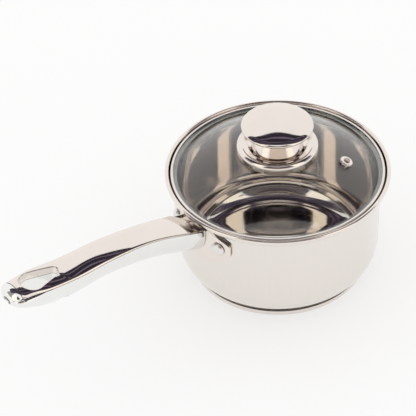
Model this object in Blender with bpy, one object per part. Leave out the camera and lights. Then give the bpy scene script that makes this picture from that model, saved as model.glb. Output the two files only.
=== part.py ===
"""Saucepan with a glass lid: the pan, its hollow handle, and the lid with its knob.

Origin: centre of the base's underside. +Z up, the handle points along -X.
"""

import math

import bmesh
import bpy
import numpy as np
from mathutils import Matrix, Vector

MM = 0.001

# How finely round things are cut
PAN_STEPS = 44
KNOB_STEPS = 28
SMALL_STEPS = 16
STRAY = 0.12 * MM  # how far the straight pieces of a bend may leave its true curve

# Clearance between pieces that touch, and the space that working fits leave
GAP = 0.3 * MM
LID_PLAY = 1.3 * MM  # lid band to the lip's step, all round
SKIRT_PLAY = 1.2 * MM  # lid band's skirt to the pan's inside wall

# Pan
PAN_INNER_RADIUS = 80.0 * MM
RIM_HEIGHT = 94.0 * MM
PAN_SHEET = 0.9 * MM
WALL_LEAN = 1.1  # degrees, opening upwards
FLOOR_CORNER_RADIUS = 14.0 * MM
BELLY_RADIUS = 26.0 * MM
LEDGE_BEND_RADIUS = 4.0 * MM
LEDGE_ANGLE = 23.0  # slope of the ledge that carries the lid
LEDGE_LENGTH = 0.4 * MM
STEP_BEND_RADIUS = 2.5 * MM
STEP_ANGLE = 76.0
STEP_LENGTH = 5.0 * MM
LIP_CURL_RADIUS = 1.1 * MM
LIP_CURL_TURN = 200.0

# Base
BASE_RADIUS = 69.9 * MM
BASE_HEIGHT = 5.9 * MM
BASE_SHEET = 0.6 * MM
BASE_EDGE_RADIUS = 3.5 * MM

# Lid
GLASS_THICKNESS = 3.0 * MM
CROWN_RADIUS = 138.0 * MM
CROWN_BLEND_RADIUS = 8.0 * MM
GLASS_FLANGE = 2.2 * MM
BAND_SHEET = 0.5 * MM
BAND_BEND_RADIUS = 0.55 * MM
BAND_TOP_WIDTH = 2.0 * MM
BAND_SKIRT_DEPTH = 6.0 * MM
SEAL_WIDTH = 0.6 * MM

# Steam vent
VENT_DISTANCE = 53.0 * MM
VENT_TURN = -47.0  # degrees about Z from +X
VENT_BORE_RADIUS = 2.4 * MM
VENT_SHEET = 0.5 * MM
VENT_FLANGE_RADIUS = 5.1 * MM
VENT_GASKET = 0.6 * MM

# Knob
CAP_RADIUS = 28.0 * MM
CAP_SHEET = 0.8 * MM
CAP_CROWN_RADIUS = 75.0 * MM
CAP_SHOULDER_RADIUS = 10.0 * MM
CAP_SHOULDER_TURN = 20.0
CAP_CURL_RADIUS = 1.0 * MM
CAP_CURL_TURN = 130.0
KNOB_HEIGHT = 27.0 * MM  # cap's top above the glass's top
DISH_RADIUS = 31.8 * MM
DISH_SHEET = 0.8 * MM
DISH_DEPTH = 1.8 * MM
DISH_BEND_RADIUS = 8.0 * MM
DISH_SLOPE = 24.0  # of its side, before the rolled edge
DISH_FOOT_SPACE = 0.6 * MM  # rolled edge to the glass
DISH_CURL_RADIUS = 3.0 * MM
NECK_SHEET = 0.8 * MM
NECK_RADIUS = 15.4 * MM
NECK_FLARE_RADIUS = 5.5 * MM
NECK_FLARE_TURN = 28.0
NECK_FOOT_RADIUS = 20.0 * MM
NECK_TOP_FLARE = 4.0 * MM
INSERT_RADIUS = 8.0 * MM
SCREW_RADIUS = 2.5 * MM
SCREW_HEAD_RADIUS = 4.6 * MM
SCREW_HEAD_HEIGHT = 2.8 * MM
SCREW_GRIP = 10.0 * MM
SCREW_CHAMFER = 0.6 * MM
SLOT_WIDTH = 1.2 * MM
SLOT_DEPTH = 1.2 * MM
WASHER_RADIUS = 8.5 * MM
WASHER_THICKNESS = 1.0 * MM
KNOB_SEAL_RADIUS = 12.0 * MM
KNOB_SEAL_THICKNESS = 0.8 * MM
GLASS_HOLE_RADIUS = 4.5 * MM

# Handle: sizes across and down at places along it
HANDLE_LENGTH = 172.0 * MM  # from the pan's wall to the tip
WAIST_DISTANCE = 48.4 * MM  # narrowest place, from the wall
GRIP_DISTANCE = 90.0 * MM  # start of the level grip, from the wall
GRIP_LENGTH = 24.0 * MM  # level stretch of the grip
HANDLE_SHEET = 1.2 * MM
ROOT_CROWN = 0.9 * MM  # rise of the top face's middle over its edges
WAIST_CROWN = 1.7 * MM
GRIP_CROWN = 2.9 * MM
TIP_CROWN = 3.7 * MM
HANDLE_FULLNESS = 2.4  # roundness of the channel: 2 is an ellipse, more is squarer
ROOT_WIDTH = 29.0 * MM
WAIST_WIDTH = 23.8 * MM
GRIP_WIDTH = 26.2 * MM
TIP_BORDER = 4.3 * MM  # beside the hanging hole, each side
ROOT_DEPTH = 25.0 * MM
WAIST_DEPTH = 23.0 * MM
GRIP_DEPTH = 20.5 * MM
BROAD_DEPTH = 16.5 * MM
TIP_DEPTH = 7.0 * MM
TIP_ROUND = 15.0 * MM  # length of the rounded end
TIP_SQUARENESS = 3.5
NOSE_LENGTH = 7.5 * MM  # how far the channel runs on past the top face
NOSE_DROP = 3.5 * MM
SHOULDER_WIDTH = 2.6 * MM  # how far the top face draws in from the channel at its end
SHOULDER_LENGTH = 24.0 * MM
SHOULDER_DROP = 2.6 * MM
NOSE_STEP = 0.3 * MM  # how far the nose starts below the top face
ROOT_DROP = 11.3 * MM  # how far the top face's root lies below the rim
WAIST_RISE = 2.9 * MM  # how far the waist lies above the rim
GRIP_RISE = 7.4 * MM  # how far the grip lies above the rim
TIP_RISE = 11.2 * MM
TOP_SETBACK = 5.5 * MM  # top face's end to the bracket, on the handle's middle
TOP_BOW = 7.0 * MM  # how much further back that end is at its corners

# Hanging hole
HOLE_LENGTH = 32.5 * MM
HOLE_WIDTH = 20.0 * MM
HOLE_POINT_RADIUS = 5.0 * MM
HOLE_TIP_MARGIN = 12.4 * MM
HOLE_FLANGE = 4.5 * MM  # depth of the top face's edge turned down into the hole

# Bracket and rivets
BRACKET_SHEET = 2.0 * MM
BRACKET_HALF_WIDTH = 35.5 * MM
BRACKET_LIP_SPACE = 0.5 * MM  # from the bracket's top edge up to the start of the lip
BRACKET_ROOT_HEIGHT = 31.0 * MM
BRACKET_END_HEIGHT = 15.0 * MM
BRACKET_TAPER_START = 0.4  # share of the half width that keeps the full height
BRACKET_SQUARENESS = 6.0
TONGUE_LENGTH = 34.0 * MM
TONGUE_SHEET = 1.6 * MM
TONGUE_DROP = 1.4 * MM  # tongue's top below the top face's underside
RIVET_SPACING = 50.0 * MM
RIVET_DROP = 23.0 * MM  # below the rim
RIVET_HEAD_RADIUS = 5.7 * MM
RIVET_HEAD_HEIGHT = 3.0 * MM
RIVET_SHANK_RADIUS = 2.5 * MM
RIVET_INNER_RADIUS = 4.6 * MM
RIVET_INNER_HEIGHT = 1.2 * MM


def clear_scene():
    for item in list(bpy.data.objects):
        bpy.data.objects.remove(item, do_unlink=True)


def material(name, colour, roughness, metallic, transmission=0.0):
    mat = bpy.data.materials.new(name)
    mat.use_nodes = True
    shader = mat.node_tree.nodes["Principled BSDF"]
    shader.inputs["Base Color"].default_value = (*colour, 1.0)
    shader.inputs["Roughness"].default_value = roughness
    shader.inputs["Metallic"].default_value = metallic
    shader.inputs["Transmission Weight"].default_value = transmission
    mat.diffuse_color = (*colour, 1.0)
    return mat


def polished_steel(name):
    return material(name, (0.83, 0.79, 0.76), 0.12, 1.0)


def plain_steel(name):
    return material(name, (0.62, 0.60, 0.58), 0.35, 1.0)


def silicone(name):
    return material(name, (0.72, 0.71, 0.68), 0.55, 0.0)


def place(name, bm, mat, parent=None, matrix=None):
    """Turn a bmesh into a smooth-shaded object."""
    bmesh.ops.remove_doubles(bm, verts=bm.verts, dist=1e-7)
    bmesh.ops.recalc_face_normals(bm, faces=bm.faces)
    mesh = bpy.data.meshes.new(name)
    bm.to_mesh(mesh)
    bm.free()
    mesh.materials.append(mat)
    mesh.shade_smooth()
    mesh.set_sharp_from_angle(angle=math.radians(32))
    item = bpy.data.objects.new(name, mesh)
    bpy.context.scene.collection.objects.link(item)
    if parent is not None:
        item.parent = parent
    if matrix is not None:
        item.matrix_local = matrix
    return item


def turned(points, steps):
    """Spin an outline of (radius, height) points about Z into a closed solid."""
    bm = bmesh.new()
    verts = [bm.verts.new((r, 0.0, z)) for r, z in points]
    edges = [bm.edges.new(pair) for pair in zip(verts, verts[1:])]
    if points[0][0] > 1e-9:
        edges.append(bm.edges.new((verts[-1], verts[0])))
    axis = (0, 0, 1)
    bmesh.ops.spin(
        bm, geom=verts + edges, cent=(0, 0, 0), axis=axis, angle=math.tau, steps=steps, use_merge=True
    )
    return bm


def path(start, heading, moves):
    """Points of a bent sheet's middle line.

    A move is (length,) for a straight, or (radius, turn) for a bend whose turn in degrees
    is positive to the left. Heading 0 is outwards and 90 is up.
    """
    r, z = start
    angle = math.radians(heading)
    points = [(r, z)]
    angles = [angle]
    for move in moves:
        if len(move) == 1:
            r += move[0] * math.cos(angle)
            z += move[0] * math.sin(angle)
            points.append((r, z))
            angles.append(angle)
            continue
        radius, turn = move
        step = 2 * math.degrees(math.acos(1 - STRAY / radius))
        count = max(2, math.ceil(abs(turn) / step))
        side = math.copysign(radius, turn)
        centre = (r - side * math.sin(angle), z + side * math.cos(angle))
        for _ in range(count):
            angle += math.radians(turn) / count
            r = centre[0] + side * math.sin(angle)
            z = centre[1] - side * math.cos(angle)
            points.append((r, z))
            angles.append(angle)
    return points, angles


def sides(points, angles, thickness):
    """The left and right faces of a sheet whose middle line is given."""
    half = thickness / 2
    across = [(half * math.sin(a), half * math.cos(a)) for a in angles]
    left = [(r - s, z + c) for (r, z), (s, c) in zip(points, across)]
    right = [(r + s, z - c) for (r, z), (s, c) in zip(points, across)]
    return left, right


def sheet(points, angles, thickness):
    """Closed outline of a sheet."""
    left, right = sides(points, angles, thickness)
    return right + left[::-1]


def height_at(outline, radius):
    """Height of an outward-running line at a radius."""
    for (r0, z0), (r1, z1) in zip(outline, outline[1:]):
        if min(r0, r1) <= radius <= max(r0, r1) and abs(r1 - r0) > 1e-9:
            return z0 + (z1 - z0) * (radius - r0) / (r1 - r0)
    return outline[-1][1]


def rectangle_ring(inner, outer, low, high):
    return [(inner, low), (outer, low), (outer, high), (inner, high)]


def rod(points, steps, matrix):
    """A cutter: a turned solid that the build leaves out."""
    bm = turned(points, steps)
    item = place("cutter", bm, polished_steel("cutter"), matrix=matrix)
    item.hide_render = True
    item.display_type = "WIRE"
    return item


def cutter(bm):
    item = place("cutter", bm, polished_steel("cutter"))
    item.hide_render = True
    item.display_type = "WIRE"
    return item


def boolean(item, other, operation="DIFFERENCE"):
    step = item.modifiers.new(operation.title(), "BOOLEAN")
    step.operation = operation
    step.object = other


# ---------------------------------------------------------------- pan


def lip_moves():
    return [
        (LEDGE_BEND_RADIUS, LEDGE_ANGLE - (90.0 - WALL_LEAN)),
        (LEDGE_LENGTH,),
        (STEP_BEND_RADIUS, STEP_ANGLE - LEDGE_ANGLE),
        (STEP_LENGTH,),
        (LIP_CURL_RADIUS, -LIP_CURL_TURN),
    ]


def lip_height():
    """From where the wall ends and the ledge's bend starts, up to the rim's top."""
    lip, _ = path((0.0, 0.0), 90.0 - WALL_LEAN, lip_moves())
    return max(z for _, z in lip) + PAN_SHEET / 2


def pan_middle_line():
    """Floor, rounded corner, belly, leaning wall and curled lip, from the axis outwards."""
    half = PAN_SHEET / 2
    lean = math.radians(WALL_LEAN)
    corner = [(FLOOR_CORNER_RADIUS, 45.0), (BELLY_RADIUS, 45.0 - WALL_LEAN)]
    bend, _ = path((0.0, 0.0), 0.0, corner)
    start = BASE_HEIGHT + half
    wall = (RIM_HEIGHT - lip_height() - start - bend[-1][1]) / math.cos(lean)
    wall_top = PAN_INNER_RADIUS + half
    floor = wall_top - wall * math.sin(lean) - bend[-1][0]
    return path((0.0, start), 0.0, [(floor,)] + corner + [(wall,)] + lip_moves())


def pan_faces():
    inside, outside = sides(*pan_middle_line(), PAN_SHEET)
    return inside, outside


def wall_radius_at(height):
    """Outside radius of the pan's wall at a height."""
    _, outside = pan_faces()
    for (r0, z0), (r1, z1) in zip(outside, outside[1:]):
        if z0 <= height <= z1:
            return r0 + (r1 - r0) * (height - z0) / (z1 - z0)
    return outside[-1][0]


def rivet_height():
    return RIM_HEIGHT - RIVET_DROP


def bracket_top():
    return RIM_HEIGHT - lip_height() - BRACKET_LIP_SPACE


def bracket_inner_radius():
    """The bracket clears the wall where the wall is widest, at the bracket's top edge."""
    return wall_radius_at(bracket_top()) + GAP


def rivet_matrix(side):
    """Frame of a rivet: its Z axis runs outwards through the wall."""
    turn = math.pi - side * math.asin(RIVET_SPACING / 2 / bracket_inner_radius())
    place_at = Matrix.Translation((0, 0, rivet_height()))
    return place_at @ Matrix.Rotation(turn, 4, "Z") @ Matrix.Rotation(math.radians(90), 4, "Y")


def make_pan():
    points, angles = pan_middle_line()
    inside, outside = sides(points, angles, PAN_SHEET)
    pan = place("pan_body", turned(outside + inside[::-1], PAN_STEPS), polished_steel("pan_steel"))
    hole = RIVET_SHANK_RADIUS + GAP
    for side in (-1, 1):
        reach = [(0, PAN_INNER_RADIUS * 0.9), (hole, PAN_INNER_RADIUS * 0.9)]
        reach += [(hole, PAN_INNER_RADIUS * 1.1), (0, PAN_INNER_RADIUS * 1.1)]
        boolean(pan, rod(reach, SMALL_STEPS, rivet_matrix(side)))


def make_base():
    half = BASE_SHEET / 2
    flat = BASE_RADIUS - half - BASE_EDGE_RADIUS
    rise = BASE_HEIGHT - GAP - half - BASE_EDGE_RADIUS
    line = path((0.0, half), 0.0, [(flat,), (BASE_EDGE_RADIUS, 90.0), (rise,)])
    inside, outside = sides(*line, BASE_SHEET)
    place("base_cap", turned(outside + inside[::-1], PAN_STEPS), polished_steel("base_steel"))

    low = BASE_SHEET + GAP
    high = BASE_HEIGHT - GAP
    edge = BASE_RADIUS - BASE_SHEET - GAP
    floor_edge = edge - BASE_EDGE_RADIUS
    disc = [(0, low), (floor_edge, low), (edge, low + BASE_EDGE_RADIUS), (edge, high), (0, high)]
    mat = material("aluminium_core", (0.75, 0.75, 0.76), 0.45, 1.0)
    place("heat_spreader_disc", turned(disc, PAN_STEPS), mat)


# ---------------------------------------------------------------- handle


def smooth(places, values):
    """A smooth curve through a few sizes: a cubic between each two, with shared slopes."""
    places = np.array(places)
    values = np.array(values)
    slopes = np.gradient(values, places)

    def at(x):
        i = int(np.clip(np.searchsorted(places, x) - 1, 0, len(places) - 2))
        span = places[i + 1] - places[i]
        t = (x - places[i]) / span
        a = (2 * t**3 - 3 * t**2 + 1) * values[i] + (t**3 - 2 * t**2 + t) * span * slopes[i]
        b = (3 * t**2 - 2 * t**3) * values[i + 1] + (t**3 - t**2) * span * slopes[i + 1]
        return float(a + b)

    return at


def handle_root():
    """Distance from the pan's axis to where the handle starts."""
    return bracket_inner_radius() + BRACKET_SHEET + GAP


def handle_tip():
    return PAN_INNER_RADIUS + PAN_SHEET + HANDLE_LENGTH


def handle_shape():
    """Half width, top edge height and depth as functions of the distance from the pan's axis."""
    root = PAN_INNER_RADIUS
    waist = root + WAIST_DISTANCE
    grip = root + GRIP_DISTANCE
    tip = handle_tip()
    broad = tip - TIP_ROUND
    places = [root, waist, grip, broad, tip]
    tip_width = HOLE_WIDTH + 2 * TIP_BORDER
    width = smooth(places, [ROOT_WIDTH, WAIST_WIDTH, GRIP_WIDTH, tip_width, tip_width])
    depth = smooth(places, [ROOT_DEPTH, WAIST_DEPTH, GRIP_DEPTH, BROAD_DEPTH, TIP_DEPTH])
    rises = [-ROOT_DROP, WAIST_RISE, GRIP_RISE, GRIP_RISE, TIP_RISE, TIP_RISE]
    heights = [RIM_HEIGHT + rise for rise in rises]
    top = smooth([root, waist, grip, grip + GRIP_LENGTH, broad, tip], heights)

    def half_width(x):
        round_in = min(1.0, max(0.0, (x - broad) / TIP_ROUND))
        return width(x) / 2 * max(1e-6, 1.0 - round_in**TIP_SQUARENESS) ** (1 / TIP_SQUARENESS)

    return half_width, top, depth


def top_crown(x):
    """Rise of the top face's middle over its edges at a distance, which dies away over the nose."""
    root = PAN_INNER_RADIUS
    places = [root, root + WAIST_DISTANCE, root + GRIP_DISTANCE, handle_tip() - TIP_ROUND, handle_tip()]
    crown = smooth(places, [ROOT_CROWN, WAIST_CROWN, GRIP_CROWN, TIP_CROWN, TIP_CROWN])
    past = max(0.0, (x - top_end()) / NOSE_LENGTH)
    return crown(x) * math.sqrt(max(0.0, 1.0 - past * past))


def ramp(x, start, length):
    """Rises smoothly from 0 at the start to 1 a length further on."""
    t = min(1.0, max(0.0, (x - start) / length))
    return t * t * (3 - 2 * t)


def top_end():
    """Distance from the pan's axis to the top face's outer end."""
    return handle_tip() - NOSE_LENGTH


def shoulder(x):
    """How far the shoulder between the channel and the top face has formed at a distance."""
    return ramp(x, top_end() - SHOULDER_LENGTH, SHOULDER_LENGTH)


def stations(start, end, count=16):
    """Distances along the handle, closer together where its end is rounded."""
    broad = handle_tip() - TIP_ROUND
    rounded = [broad + TIP_ROUND * math.sin(math.pi / 2 * i / 9) for i in range(1, 9)]
    places = [x for x in list(np.linspace(start, broad, count)) + rounded if x < end - 0.4 * MM]
    return [x for x in places if x >= start] + [end]


def channel_ring(x, inset, drop, steps=14):
    """The handle's section at a distance: a channel inset all round and cut level at its top.

    The drop is measured down from the edges of the top face. Past the top face the channel
    closes over the tip as a rounded nose, nearly level with that face.
    """
    half_width, top, depth = handle_shape()
    past = max(0.0, (x - top_end()) / NOSE_LENGTH)
    if x > top_end() + GAP:
        drop = NOSE_STEP
    edge = top(x) - NOSE_DROP * (1.0 - math.sqrt(max(0.0, 1.0 - past * past)))
    cut = edge - drop
    wide = edge - SHOULDER_DROP * shoulder(x)
    half = max(half_width(x) - inset, MM)
    deep = wide - (top(x) - depth(x) + inset)
    power = 2 / HANDLE_FULLNESS
    level = max(0.0, wide - cut) + 0.5 * MM
    first = math.asin((level / deep) ** (1 / power))
    curve = []
    for i in range(steps + 1):
        a = first + (math.pi - 2 * first) * i / steps
        c = math.cos(a)
        y = half * math.copysign(abs(c) ** power, c)
        curve.append((-x, y, wide - deep * math.sin(a) ** power))
    inner = half - SHOULDER_WIDTH * shoulder(x)
    bulge = inner + (half - inner) * 0.7
    rise = cut + (curve[0][2] - cut) * 0.3
    crown = top_crown(x) if x > top_end() + GAP else 0.0
    across = [(-x, inner * v, cut + crown * (1.0 - v * v)) for v in (-0.75, -0.5, -0.25, 0, 0.25, 0.5, 0.75)]
    sides_round = [(-x, inner, cut), (-x, bulge, rise)] + curve + [(-x, -bulge, rise), (-x, -inner, cut)]
    return sides_round + across


def loft(rings):
    """Close a stack of rings into a solid."""
    bm = bmesh.new()
    rows = [[bm.verts.new(p) for p in ring] for ring in rings]
    for low, high in zip(rows, rows[1:]):
        for i in range(len(low)):
            j = (i + 1) % len(low)
            bm.faces.new((low[i], low[j], high[j], high[i]))
    bm.faces.new(rows[0])
    bm.faces.new(rows[-1][::-1])
    return bm


def handle_form(places, inset, drop):
    return loft([channel_ring(x, inset, drop) for x in places])


def nose_stations():
    """The tip beyond the top face, starting with the step that the face's end sits against."""
    ends = [x for x in stations(PAN_INNER_RADIUS, handle_tip() - 0.1 * MM) if x > top_end() + 2 * GAP]
    return [top_end() + 0.9 * GAP, top_end() + 1.1 * GAP] + ends


def hole_outline(offset, steps=24):
    """The hanging hole from above: a round end towards the tip, narrowing towards the pan."""
    big = HOLE_WIDTH / 2
    small = HOLE_POINT_RADIUS
    far = handle_tip() - HOLE_TIP_MARGIN - big
    near = far + big - HOLE_LENGTH + small
    lean = math.acos((big - small) / (far - near))
    points = []
    for i in range(steps + 1):
        a = lean + (math.tau - 2 * lean) * i / steps
        points.append((-far + (big + offset) * math.cos(a), (big + offset) * math.sin(a)))
    for i in range(9):
        a = -lean + 2 * lean * i / 8
        points.append((-near + (small + offset) * math.cos(a), (small + offset) * math.sin(a)))
    return points


def hole_prism(offset, low, high):
    outline = hole_outline(offset)
    return loft([[(x, y, low) for x, y in outline], [(x, y, high) for x, y in outline]])


def top_plate(lower=0.0, thickness=HANDLE_SHEET):
    """The handle's top face: a thin, crowned sheet with a bowed end near the pan."""
    half_width, top, _ = handle_shape()
    start = handle_root() + TOP_SETBACK
    rows = []
    for x in stations(start, top_end(), 22):
        upper = []
        under = []
        for i in range(9):
            v = -1.0 + i / 4
            bow = TOP_BOW * v * v * max(0.0, 1.0 - (x - start) / (5 * TOP_BOW))
            at = x + bow
            z = top(at) + top_crown(at) * (1.0 - v * v) - lower
            y = (half_width(at) - SHOULDER_WIDTH * shoulder(at)) * v
            upper.append((-at, y, z))
            under.append((-at, y, z - thickness))
        rows.append(upper + under[::-1])
    return loft(rows)


def make_handle():
    _, top, _ = handle_shape()
    tip = handle_tip()
    steel = polished_steel("handle_steel")
    low = RIM_HEIGHT - ROOT_DEPTH - GRIP_DEPTH
    high = RIM_HEIGHT + 2 * ROOT_DEPTH

    split = top(tip - HOLE_TIP_MARGIN - HOLE_LENGTH / 2) - HOLE_FLANGE
    whole = stations(PAN_INNER_RADIUS, top_end() - GAP) + nose_stations()

    upper = place("handle_upper_shell", top_plate(), steel)
    collar = cutter(hole_prism(HANDLE_SHEET, split, high))
    boolean(collar, cutter(top_plate(HANDLE_SHEET / 2, ROOT_DEPTH)), "INTERSECT")
    boolean(upper, collar, "UNION")
    boolean(upper, cutter(hole_prism(0, low, high)))

    seam = HANDLE_SHEET + GAP
    lower = place("handle_lower_shell", handle_form(whole, 0, seam), steel)
    hollow = stations(PAN_INNER_RADIUS - 5 * MM, top_end() - HANDLE_SHEET)
    boolean(lower, cutter(handle_form(hollow, HANDLE_SHEET, seam - 0.4 * MM)))
    collar = cutter(hole_prism(HANDLE_SHEET, low, split - GAP))
    boolean(collar, cutter(handle_form(whole, HANDLE_SHEET / 2, seam)), "INTERSECT")
    boolean(lower, collar, "UNION")
    boolean(lower, cutter(hole_prism(0, low, high)))
    root = [(0, low - ROOT_DEPTH), (handle_root(), low - ROOT_DEPTH), (handle_root(), high), (0, high)]
    boolean(lower, rod(root, 2 * PAN_STEPS, Matrix.Identity(4)))


def bracket_flange():
    """Plate that follows the wall, tallest at the handle and tapering to its rounded ends."""
    inner = bracket_inner_radius()
    outer = inner + BRACKET_SHEET
    reach = math.asin(BRACKET_HALF_WIDTH / outer)
    root_middle = bracket_top() - BRACKET_ROOT_HEIGHT / 2
    rings = []
    for i in range(33):
        v = -math.cos(math.pi * (i + 0.25) / 32.5)
        share = abs(v)
        rounding = (1.0 - share**BRACKET_SQUARENESS) ** (1 / BRACKET_SQUARENESS)
        taper = max(0.0, (share - BRACKET_TAPER_START) / (1.0 - BRACKET_TAPER_START))
        half = (BRACKET_ROOT_HEIGHT + (BRACKET_END_HEIGHT - BRACKET_ROOT_HEIGHT) * taper) / 2 * rounding
        middle = root_middle + (rivet_height() - root_middle) * share
        a = math.pi + reach * v
        ring = []
        for radius, z in ((inner, -half), (outer, -half), (outer, half), (inner, half)):
            ring.append((radius * math.cos(a), radius * math.sin(a), middle + z))
        rings.append(ring)
    return loft(rings)


def make_bracket():
    inner = bracket_inner_radius()
    bracket = place("handle_bracket", bracket_flange(), polished_steel("bracket_steel"))
    inset = HANDLE_SHEET + GAP
    drop = HANDLE_SHEET + TONGUE_DROP
    end = handle_root() + TONGUE_LENGTH
    tongue = cutter(handle_form(np.linspace(PAN_INNER_RADIUS, end, 10), inset, drop))
    core = handle_form(np.linspace(handle_root(), end + MM, 9), inset + TONGUE_SHEET, drop + TONGUE_SHEET)
    boolean(tongue, cutter(core))
    trim = [(0, 0), (inner + BRACKET_SHEET / 2, 0)]
    trim += [(inner + BRACKET_SHEET / 2, 2 * RIM_HEIGHT), (0, 2 * RIM_HEIGHT)]
    boolean(tongue, rod(trim, 2 * PAN_STEPS, Matrix.Identity(4)))
    boolean(bracket, tongue, "UNION")
    hole = RIVET_SHANK_RADIUS + GAP
    for side in (-1, 1):
        reach = [(0, inner * 0.95), (hole, inner * 0.95), (hole, inner * 1.06), (0, inner * 1.06)]
        boolean(bracket, rod(reach, SMALL_STEPS, rivet_matrix(side)))


def make_rivets():
    """Domed head outside, a shank through the bracket and the wall, a flat head inside."""
    outer = bracket_inner_radius() + BRACKET_SHEET + GAP
    inside, _ = pan_faces()
    wall = wall_radius_at(rivet_height() - RIVET_INNER_RADIUS) - PAN_SHEET
    # A flat head meets the hollow side of the wall at its rim
    seat = math.sqrt(wall**2 - RIVET_INNER_RADIUS**2) - GAP
    points = [(0, seat - RIVET_INNER_HEIGHT), (RIVET_INNER_RADIUS * 0.8, seat - RIVET_INNER_HEIGHT)]
    points += [(RIVET_INNER_RADIUS, seat - RIVET_INNER_HEIGHT * 0.4), (RIVET_INNER_RADIUS, seat)]
    points += [(RIVET_SHANK_RADIUS, seat), (RIVET_SHANK_RADIUS, outer)]
    for i in range(7):
        a = math.radians(90 * i / 6)
        points.append((RIVET_HEAD_RADIUS * math.cos(a), outer + RIVET_HEAD_HEIGHT * math.sin(a)))
    points[-1] = (0, points[-1][1])
    for side, name in ((-1, "rivet_left"), (1, "rivet_right")):
        place(name, turned(points, SMALL_STEPS), plain_steel(name), matrix=rivet_matrix(side))


# ---------------------------------------------------------------- lid


def step_radius():
    """Inside radius of the lip's step, where the lid has its play."""
    inside, _ = pan_faces()
    ledge = height_at(inside, PAN_INNER_RADIUS + LEDGE_BEND_RADIUS / 2)
    return min(r for r, z in inside if z > ledge + STEP_BEND_RADIUS)


def band_radius():
    return step_radius() - LID_PLAY


def band_floor():
    """Height of the band's underside where it rests on the ledge."""
    inside, _ = pan_faces()
    return height_at(inside, band_radius()) + GAP / math.cos(math.radians(STEP_ANGLE / 2))


def glass_edge_radius():
    return band_radius() - BAND_SHEET - 2 * GAP - SEAL_WIDTH


def glass_line():
    """Middle line of the glass, from the axis outwards: crown, blend, flat flange."""
    half = GLASS_THICKNESS / 2
    across = glass_edge_radius() - GLASS_FLANGE
    turn = math.degrees(math.asin(across / (CROWN_RADIUS + CROWN_BLEND_RADIUS)))
    moves = [(CROWN_RADIUS, -turn), (CROWN_BLEND_RADIUS, turn), (GLASS_FLANGE,)]
    points, _ = path((0.0, 0.0), 0.0, moves)
    edge = band_floor() + BAND_SHEET + GAP + half
    return path((0.0, edge - points[-1][1]), 0.0, moves)


def glass_faces():
    upper, lower = sides(*glass_line(), GLASS_THICKNESS)
    return upper, lower


def crown_height(radius, face):
    """Height of the glass at a radius on its crown: face is +1 above, -1 below."""
    points, _ = glass_line()
    centre = points[0][1] - CROWN_RADIUS
    return centre + math.sqrt((CROWN_RADIUS + face * GLASS_THICKNESS / 2) ** 2 - radius**2)


def vent_matrix():
    """Frame of the vent: its Z axis stands square to the glass, its origin is mid-glass."""
    lean = math.asin(VENT_DISTANCE / CROWN_RADIUS)
    points, _ = glass_line()
    centre = points[0][1] - CROWN_RADIUS
    turn = Matrix.Rotation(math.radians(VENT_TURN), 4, "Z")
    tilt = Matrix.Rotation(lean, 4, "Y")
    return Matrix.Translation((0, 0, centre)) @ turn @ tilt @ Matrix.Translation((0, 0, CROWN_RADIUS))


def make_glass(lid):
    upper, lower = glass_faces()
    hole = GLASS_HOLE_RADIUS
    crown = [(hole, crown_height(hole, -1))] + [p for p in lower if p[0] > hole]
    back = [p for p in upper if p[0] > hole][::-1] + [(hole, crown_height(hole, 1))]
    mat = material("clear_glass", (0.86, 0.90, 0.88), 0.03, 0.0, 1.0)
    glass = place("lid_glass", turned(crown + back, PAN_STEPS), mat, lid)
    bore = VENT_BORE_RADIUS + VENT_SHEET + GAP
    deep = 2 * GLASS_THICKNESS
    reach = [(0, -deep), (bore, -deep), (bore, deep), (0, deep)]
    boolean(glass, rod(reach, SMALL_STEPS, vent_matrix()))


def make_band(lid):
    """Channel that grips the glass's edge, with a skirt that hangs inside the pan."""
    half = BAND_SHEET / 2
    bend = BAND_BEND_RADIUS
    height = 2 * BAND_SHEET + 2 * GAP + GLASS_THICKNESS
    wall = height - BAND_SHEET - 2 * bend
    outer = band_radius() - half
    skirt = PAN_INNER_RADIUS - SKIRT_PLAY - half
    inward = outer - bend - skirt - bend
    start = (outer - bend - (BAND_TOP_WIDTH - bend - half), band_floor() + height - half)
    moves = [(outer - bend - start[0],), (bend, -90.0), (wall,), (bend, -90.0), (inward,), (bend, 90.0)]
    line = path(start, 0.0, moves + [(BAND_SKIRT_DEPTH,)])
    place("lid_rim_band", turned(sheet(*line, BAND_SHEET), PAN_STEPS), polished_steel("band_steel"), lid)

    inner = glass_edge_radius() + GAP
    low = band_floor() + BAND_SHEET + GAP
    ring = rectangle_ring(inner, inner + SEAL_WIDTH, low, low + GLASS_THICKNESS)
    place("lid_rim_seal", turned(ring, PAN_STEPS), silicone("rim_seal"), lid)


def make_vent(lid):
    """Eyelet clinched through the glass over a soft gasket."""
    half = GLASS_THICKNESS / 2
    sag = VENT_FLANGE_RADIUS**2 / (2 * CROWN_RADIUS)
    bore = VENT_BORE_RADIUS
    tube = bore + VENT_SHEET
    bottom = -half - sag - GAP - VENT_SHEET
    seat = half + VENT_GASKET + 2 * GAP
    edge = VENT_FLANGE_RADIUS
    points = [(bore, bottom), (edge - MM, bottom)]
    points += [(edge - MM, bottom + VENT_SHEET), (tube, bottom + VENT_SHEET)]
    points += [(tube, seat), (edge, seat), (edge, seat + 0.35 * MM), (edge - 0.5 * MM, seat + 0.8 * MM)]
    points += [(tube, seat + 0.9 * MM), (bore, seat + 0.5 * MM)]
    place("vent_eyelet", turned(points, SMALL_STEPS), plain_steel("vent_steel"), lid, vent_matrix())
    ring = rectangle_ring(tube + GAP, edge - 0.3 * MM, half + GAP, half + GAP + VENT_GASKET)
    place("vent_gasket", turned(ring, SMALL_STEPS), silicone("vent_silicone"), lid, vent_matrix())


# ---------------------------------------------------------------- knob


def seal_height():
    """Underside of the soft ring between the glass and the dish."""
    return crown_height(GLASS_HOLE_RADIUS, 1) + GAP


def dish_floor():
    """Underside of the dish's middle."""
    return seal_height() + KNOB_SEAL_THICKNESS + GAP


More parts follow.
